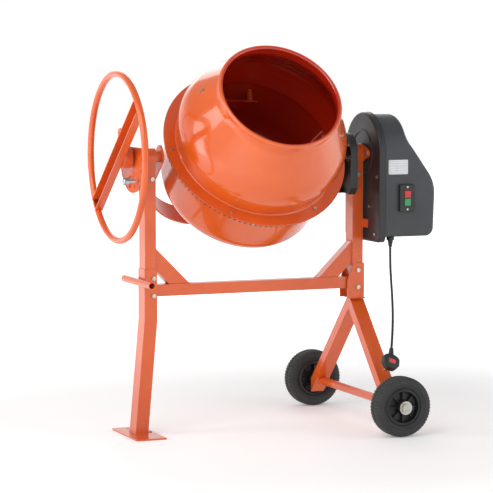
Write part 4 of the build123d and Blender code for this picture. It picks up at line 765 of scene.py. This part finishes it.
@dataclass
class RoadWheel:
    """One wheel: treaded rubber tyre, ribbed nylon centre.

    Attributes:
        label: Front or back, as its nodes are named.
        body: Moving body it turns with.
        tread_blocks: Number of blocks in each of the two rows of tread.
        groove: Depth of the tread's grooves.
        spokes: Number of ribs on each side of the web.
        bead_radius: Radius where the rubber meets the wheel's centre.
        bore_radius: Bore of the wheel's centre on the axle.
    """

    label: str
    body: str
    tread_blocks: int = 56
    groove: float = 2.2 * MM
    spokes: int = 8
    bead_radius: float = 56.2 * MM
    bore_radius: float = 10.2 * MM

    @property
    def centre(self) -> Vector:
        """Centre of the tyre."""
        low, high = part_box(f"{self.label}_tyre")
        return (Vector(low) + Vector(high)) / 2

    def build(self) -> None:
        """Make the tyre and the wheel's centre."""
        self.make_tyre()
        self.make_centre()

    def make_tyre(self) -> None:
        """Turn the tyre with two staggered rows of tread blocks and ribbed sidewalls."""
        low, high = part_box(f"{self.label}_tyre")
        radius = (Vector(high).z - Vector(low).z) / 2 - 0.05 * MM
        half = (Vector(high).y - Vector(low).y) / 2 - 0.05 * MM
        inner = self.bead_radius
        # radius, place across the tyre, and how much of the groove cuts there
        loop = [(inner, -half + 7 * MM, 0), (inner + 5 * MM, -half + 2.5 * MM, 0),
                (inner + 9 * MM, -half + 0.4 * MM, 0),
                (inner + 10 * MM, -half + 1.4 * MM, 0), (inner + 12 * MM, -half + 1.4 * MM, 0),
                (inner + 13 * MM, -half + 0.1 * MM, 0), (radius - 12 * MM, -half, 0),
                (radius - 7 * MM, -half + 1.6 * MM, 0.3),
                (radius - 3.2 * MM, -half + 5 * MM, 1), (radius - 1.0 * MM, -half + 10 * MM, 1),
                (radius, -half + 17 * MM, 1), (radius, -3.2 * MM, 1), (radius - 2.4 * MM, -2.2 * MM, 0),
                (radius - 2.4 * MM, 2.2 * MM, 0), (radius, 3.2 * MM, 2), (radius, half - 17 * MM, 2),
                (radius - 1.0 * MM, half - 10 * MM, 2), (radius - 3.2 * MM, half - 5 * MM, 2),
                (radius - 7 * MM, half - 1.6 * MM, 0.3), (radius - 12 * MM, half, 0),
                (inner + 13 * MM, half - 0.1 * MM, 0), (inner + 12 * MM, half - 1.4 * MM, 0),
                (inner + 10 * MM, half - 1.4 * MM, 0), (inner + 9 * MM, half - 0.4 * MM, 0),
                (inner + 5 * MM, half - 2.5 * MM, 0), (inner, half - 7 * MM, 0)]
        per_block = 6

        def cut(step: int, index: int, at: float) -> float:
            """Lower the tread between its blocks, the two rows half a block apart."""
            row = loop[index][2]
            if row < 1:
                return at
            phase = (step + (per_block // 2 if row == 2 else 0)) % per_block
            return at - self.groove if phase in (0, 1) else at

        def fill(shape: bmesh.types.BMesh) -> None:
            """Turn the treaded loop about the axle."""
            turned_body(shape, self.centre, Vector((0, 1, 0)), [(r, y) for r, y, _ in loop],
                        self.tread_blocks * per_block, cut)

        tyre = make_piece(f"{self.label}_treaded_tyre", fill, TYRE_RUBBER, self.body, 28.0)
        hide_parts(f"{self.label}_tyre")

    def make_centre(self) -> None:
        """Turn the wheel's centre: bead rings, dished web with ribs, and the axle boss."""
        low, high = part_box(f"{self.label}_hub")
        boss_half = (Vector(high).y - Vector(low).y) / 2 - 0.1 * MM
        boss = boss_half / MM

        def fill(shape: bmesh.types.BMesh) -> None:
            """Turn the rim, the web and the boss, then stand the ribs on the web."""
            bore = self.bore_radius / MM
            loop = [(bore, -boss), (17.5, -boss), (18.8, -boss + 1.5), (20.4, -9.5), (22.0, -7.2),
                    (40.5, -6.4), (44.5, -8.5), (46.5, -20.5), (47.5, -24.2), (49.5, -25.0),
                    (53.5, -24.2), (55.7, -22.4), (55.7, 22.4), (53.5, 24.2), (49.5, 25.0), (47.5, 24.2),
                    (46.5, 20.5), (44.5, 8.5), (40.5, 6.4), (22.0, 7.2), (20.4, 9.5),
                    (18.8, boss - 1.5), (17.5, boss), (bore, boss)]
            turned_body(shape, self.centre, Vector((0, 1, 0)), [(r * MM, y * MM) for r, y in loop], 96)
            for spoke in range(self.spokes):
                angle = 2 * math.pi * spoke / self.spokes
                turn = Matrix.Translation(self.centre) @ Matrix.Rotation(angle, 4, "Y")
                for side in (-1, 1):
                    part = bmesh.new()
                    ends = sorted((side * 5.5 * MM, side * 17.5 * MM))
                    rounded_slab(part, Vector((18.2 * MM, ends[0], -1.6 * MM)),
                                 Vector((45.5 * MM, ends[1], 1.6 * MM)), 0.5 * MM, 2)
                    part.transform(turn)
                    copy = bpy.data.meshes.new("rib")
                    part.to_mesh(copy)
                    shape.from_mesh(copy)
                    bpy.data.meshes.remove(copy)
                    part.free()

        hub = make_piece(f"{self.label}_wheel_centre", fill, HUB_NYLON, self.body, 30.0)
        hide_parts(f"{self.label}_hub")


@dataclass
class WeldSeams:
    """Weld beads where the stand's tubes meet.

    Attributes:
        bead: Radius of a bead.
        ripple: Distance between the ripples of a bead.
    """

    bead: float = 2.3 * MM
    ripple: float = 2.6 * MM

    def seam(self, name: str, loops: Iterable[Sequence[Vector]], body: str = "stand") -> None:
        """Lay rippled beads along the given lines as one piece.

        Args:
            name: Name of the piece.
            loops: Each line as a list of corner points.
            body: Moving body that carries the beads.
        """
        lines = [list(line) for line in loops]

        def fill(shape: bmesh.types.BMesh) -> None:
            """Run a bar with a rippled radius along every line."""
            for line in lines:
                for start, end in zip(line, line[1:]):
                    run = (end - start).length
                    steps = max(4, int(run / self.ripple) * 3)
                    points = [start.lerp(end, k / steps) for k in range(steps + 1)]
                    radii = [self.bead * (0.88 + 0.12 * math.sin(2 * math.pi * k / 3 + 0.4 * math.sin(k)))
                             for k in range(steps + 1)]
                    radii[0] *= 0.6
                    radii[-1] *= 0.6
                    tube_along(shape, points, radii, 8)

        make_piece(name, fill, FRAME_COAT, body, 60.0)

    def build(self) -> None:
        """Lay the seams of the stand."""
        self.frame_seams()
        self.foot_seams()
        self.axle_seams()

    def frame_seams(self) -> None:
        """Beads of the beam on the posts and of the braces on both."""
        low, high = (Vector(corner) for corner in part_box("cross_beam"))
        lines = []
        for x in (low.x, high.x):
            lines.append([Vector((x, low.y, low.z)), Vector((x, low.y, high.z))])
            lines.append([Vector((x, high.y, low.z)), Vector((x, high.y, high.z))])
            lines.append([Vector((x, low.y, low.z)), Vector((x, high.y, low.z))])
        reach, short = 110 * MM, 45 * MM
        half = 18 * MM
        for x, way in ((low.x, 1), (high.x, -1)):
            for y in (-half, half):
                lines.append([Vector((x, y, high.z + short)), Vector((x, y, high.z + reach))])
                lines.append([Vector((x + way * short, y, high.z)), Vector((x + way * reach, y, high.z))])
            lines.append([Vector((x, -half, high.z + reach)), Vector((x, half, high.z + reach))])
            lines.append([Vector((x + way * reach, -half, high.z)), Vector((x + way * reach, half, high.z))])
        self.seam("weld_beads_frame", lines)

    def foot_seams(self) -> None:
        """Beads round the foot of the left leg and along the lifting bar."""
        plate_high = Vector(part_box("foot_plate")[1])
        leg_low, leg_high = (Vector(corner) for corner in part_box("left_leg"))
        top = plate_high.z
        x0, x1 = leg_low.x, leg_low.x + 40 * MM
        y0, y1 = leg_low.y, leg_high.y
        ring = [Vector((x0, y0, top)), Vector((x1, y0, top)), Vector((x1, y1, top)),
                Vector((x0, y1, top)), Vector((x0, y0, top))]
        bar_low, bar_high = (Vector(corner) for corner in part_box("lift_bar"))
        middle = (bar_low.z + bar_high.z) / 2
        side = bar_high.x
        x = side - 1.5 * MM
        lines = [ring] + [[Vector((x, y0, middle + dz)), Vector((x, y1, middle + dz))]
                          for dz in (-6.5 * MM, 6.5 * MM)]
        self.seam("weld_beads_leg", lines)

    def axle_seams(self) -> None:
        """Beads where the wheel legs saddle the axle tube and meet their bracket."""
        tube_high = Vector(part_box("axle_tube")[1])
        head_low, head_high = (Vector(corner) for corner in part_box("wheel_leg_head"))
        legs_low, legs_high = (Vector(corner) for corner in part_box("wheel_legs"))
        x0, x1 = legs_low.x, legs_high.x
        lines = []
        for way in (-1, 1):
            y = way * 262 * MM
            z = tube_high.z + 2.0 * MM
            lines.append([Vector((x0 + 8 * MM, y, z)), Vector((x1 - 8 * MM, y, z))])
        z = head_low.z
        for y in (head_low.y, head_high.y):
            lines.append([Vector((x0, y, z)), Vector((x1, y, z))])
        self.seam("weld_beads_wheel_legs", lines)


@dataclass
class DriveHousingTrim:
    """Small moulded and printed detail of the motor housing.

    Attributes:
        rows: Ruled rows of the rating plate.
    """

    rows: int = 6

    def build(self) -> None:
        """Make the rating plate's ruling, the parting bead, the boss and the button marks."""
        self.make_ruling()
        self.make_parting_bead()
        self.make_boss()
        self.make_button_marks()

    def make_ruling(self) -> None:
        """Rule the rating plate with blank rows and columns."""
        low, high = (Vector(corner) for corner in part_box("rating_plate"))
        face = low.y

        def fill(shape: bmesh.types.BMesh) -> None:
            """Raise each line a hair from the film."""
            margin = 4 * MM
            for row in range(self.rows):
                z = low.z + margin + (high.z - low.z - 2 * margin) * row / (self.rows - 1)
                rounded_slab(shape, Vector((low.x + margin, face - 0.12 * MM, z - 0.3 * MM)),
                             Vector((high.x - margin, face + 0.1 * MM, z + 0.3 * MM)), 0.05 * MM, 1)
            for share in (0.0, 0.42, 1.0):
                x = low.x + margin + (high.x - low.x - 2 * margin) * share
                rounded_slab(shape, Vector((x - 0.3 * MM, face - 0.12 * MM, low.z + margin)),
                             Vector((x + 0.3 * MM, face + 0.1 * MM, high.z - margin)), 0.05 * MM, 1)

        make_piece("rating_plate_ruling", fill, INK_GREY, "stand")

    def make_parting_bead(self) -> None:
        """Run a fine raised bead round the pan where the cover closes on it."""
        low, high = (Vector(corner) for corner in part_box("housing_pan"))
        radius = (high.y - low.y) / 2 - 0.5 * MM
        x = high.x - 0.6 * MM
        centre_z = PIVOT.z
        foot = low.z + 22 * MM
        points = [Vector((x, -radius, foot))]
        points += [Vector((x, -radius, foot + (centre_z - foot) * k / 8)) for k in range(1, 9)]
        turns = [math.pi * k / 40 for k in range(1, 41)]
        points += [Vector((x, -radius * math.cos(turn), centre_z + radius * math.sin(turn)))
                   for turn in turns]
        points += [Vector((x, radius, centre_z - (centre_z - foot) * k / 8)) for k in range(1, 9)]

        def fill(shape: bmesh.types.BMesh) -> None:
            """Run a thin bar along the arch."""
            tube_along(shape, points, [1.4 * MM] * len(points), 8)

        make_piece("pan_parting_bead", fill, PAN_ABS, "stand", 60.0)

    def make_boss(self) -> None:
        """Raise the round boss on the pan behind the bearing flange."""
        low, _ = (Vector(corner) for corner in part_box("housing_pan"))

        def fill(shape: bmesh.types.BMesh) -> None:
            """Turn a low ring with rounded shoulders."""
            loop = [(66, 0.3), (66, -1.2), (67, -2.0), (71, -2.2), (74, -1.4), (75, 0.3)]
            turned_body(shape, Vector((low.x, PIVOT.y, PIVOT.z)), Vector((1, 0, 0)),
                        [(r * MM, a * MM) for r, a in loop], 96)

        make_piece("pan_bearing_boss", fill, PAN_ABS, "stand")

    def make_button_marks(self) -> None:
        """Mould the plain stop ring and start bar into the two buttons."""
        for node, body in (("stop_button", "stop_button"), ("start_button", "start_button")):
            low, high = (Vector(corner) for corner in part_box(node))
            centre = Vector(((low.x + high.x) / 2, low.y, (low.z + high.z) / 2))

            def fill(shape: bmesh.types.BMesh, at: Vector = centre,
                     ring: bool = node == "stop_button") -> None:
                """Lay the mark on the button's face."""
                if ring:
                    loop = [(3.6, -0.15), (5.0, -0.15), (5.0, 0.02), (3.6, 0.02)]
                    turned_body(shape, at, Vector((0, 1, 0)),
                                [(r * MM, (a + 0.16) * MM) for r, a in loop], 40)
                else:
                    rounded_slab(shape, at + Vector((-0.8, 0.01, -5)) * MM, at + Vector((0.8, 0.3, 5)) * MM,
                                 0.06 * MM, 1)

            make_piece(f"{node}_mark", fill, SILVER_FILM, body)


class CarriedNodes:
    """The CAD pieces that keep their own mesh and get their finish here."""

    def build(self) -> None:
        """Dress every CAD node by its record slot and smooth its round faces."""
        slots = {entry["node"]: entry["material_slot"] for entry in frame["record"]["subparts"]}
        for name, piece in NODES.items():
            FINISHES.dress(piece, SLOT_FINISH[slots[name]])
            smooth_by_angle(piece.data, 28.0)
            LOG.info("%s wears %s", name, SLOT_FINISH[slots[name]].name)


def main() -> None:
    """Build the studio and then the machine, piece by piece."""
    for assembly in (Studio(), PowerLead(), CarriedNodes(), RoadWheel("front", "front_wheel"),
                     RoadWheel("back", "back_wheel"), WeldSeams(), DriveHousingTrim()):
        assembly.build()
        LOG.info("%s built", type(assembly).__name__)


if __name__ == "__main__":
    main()
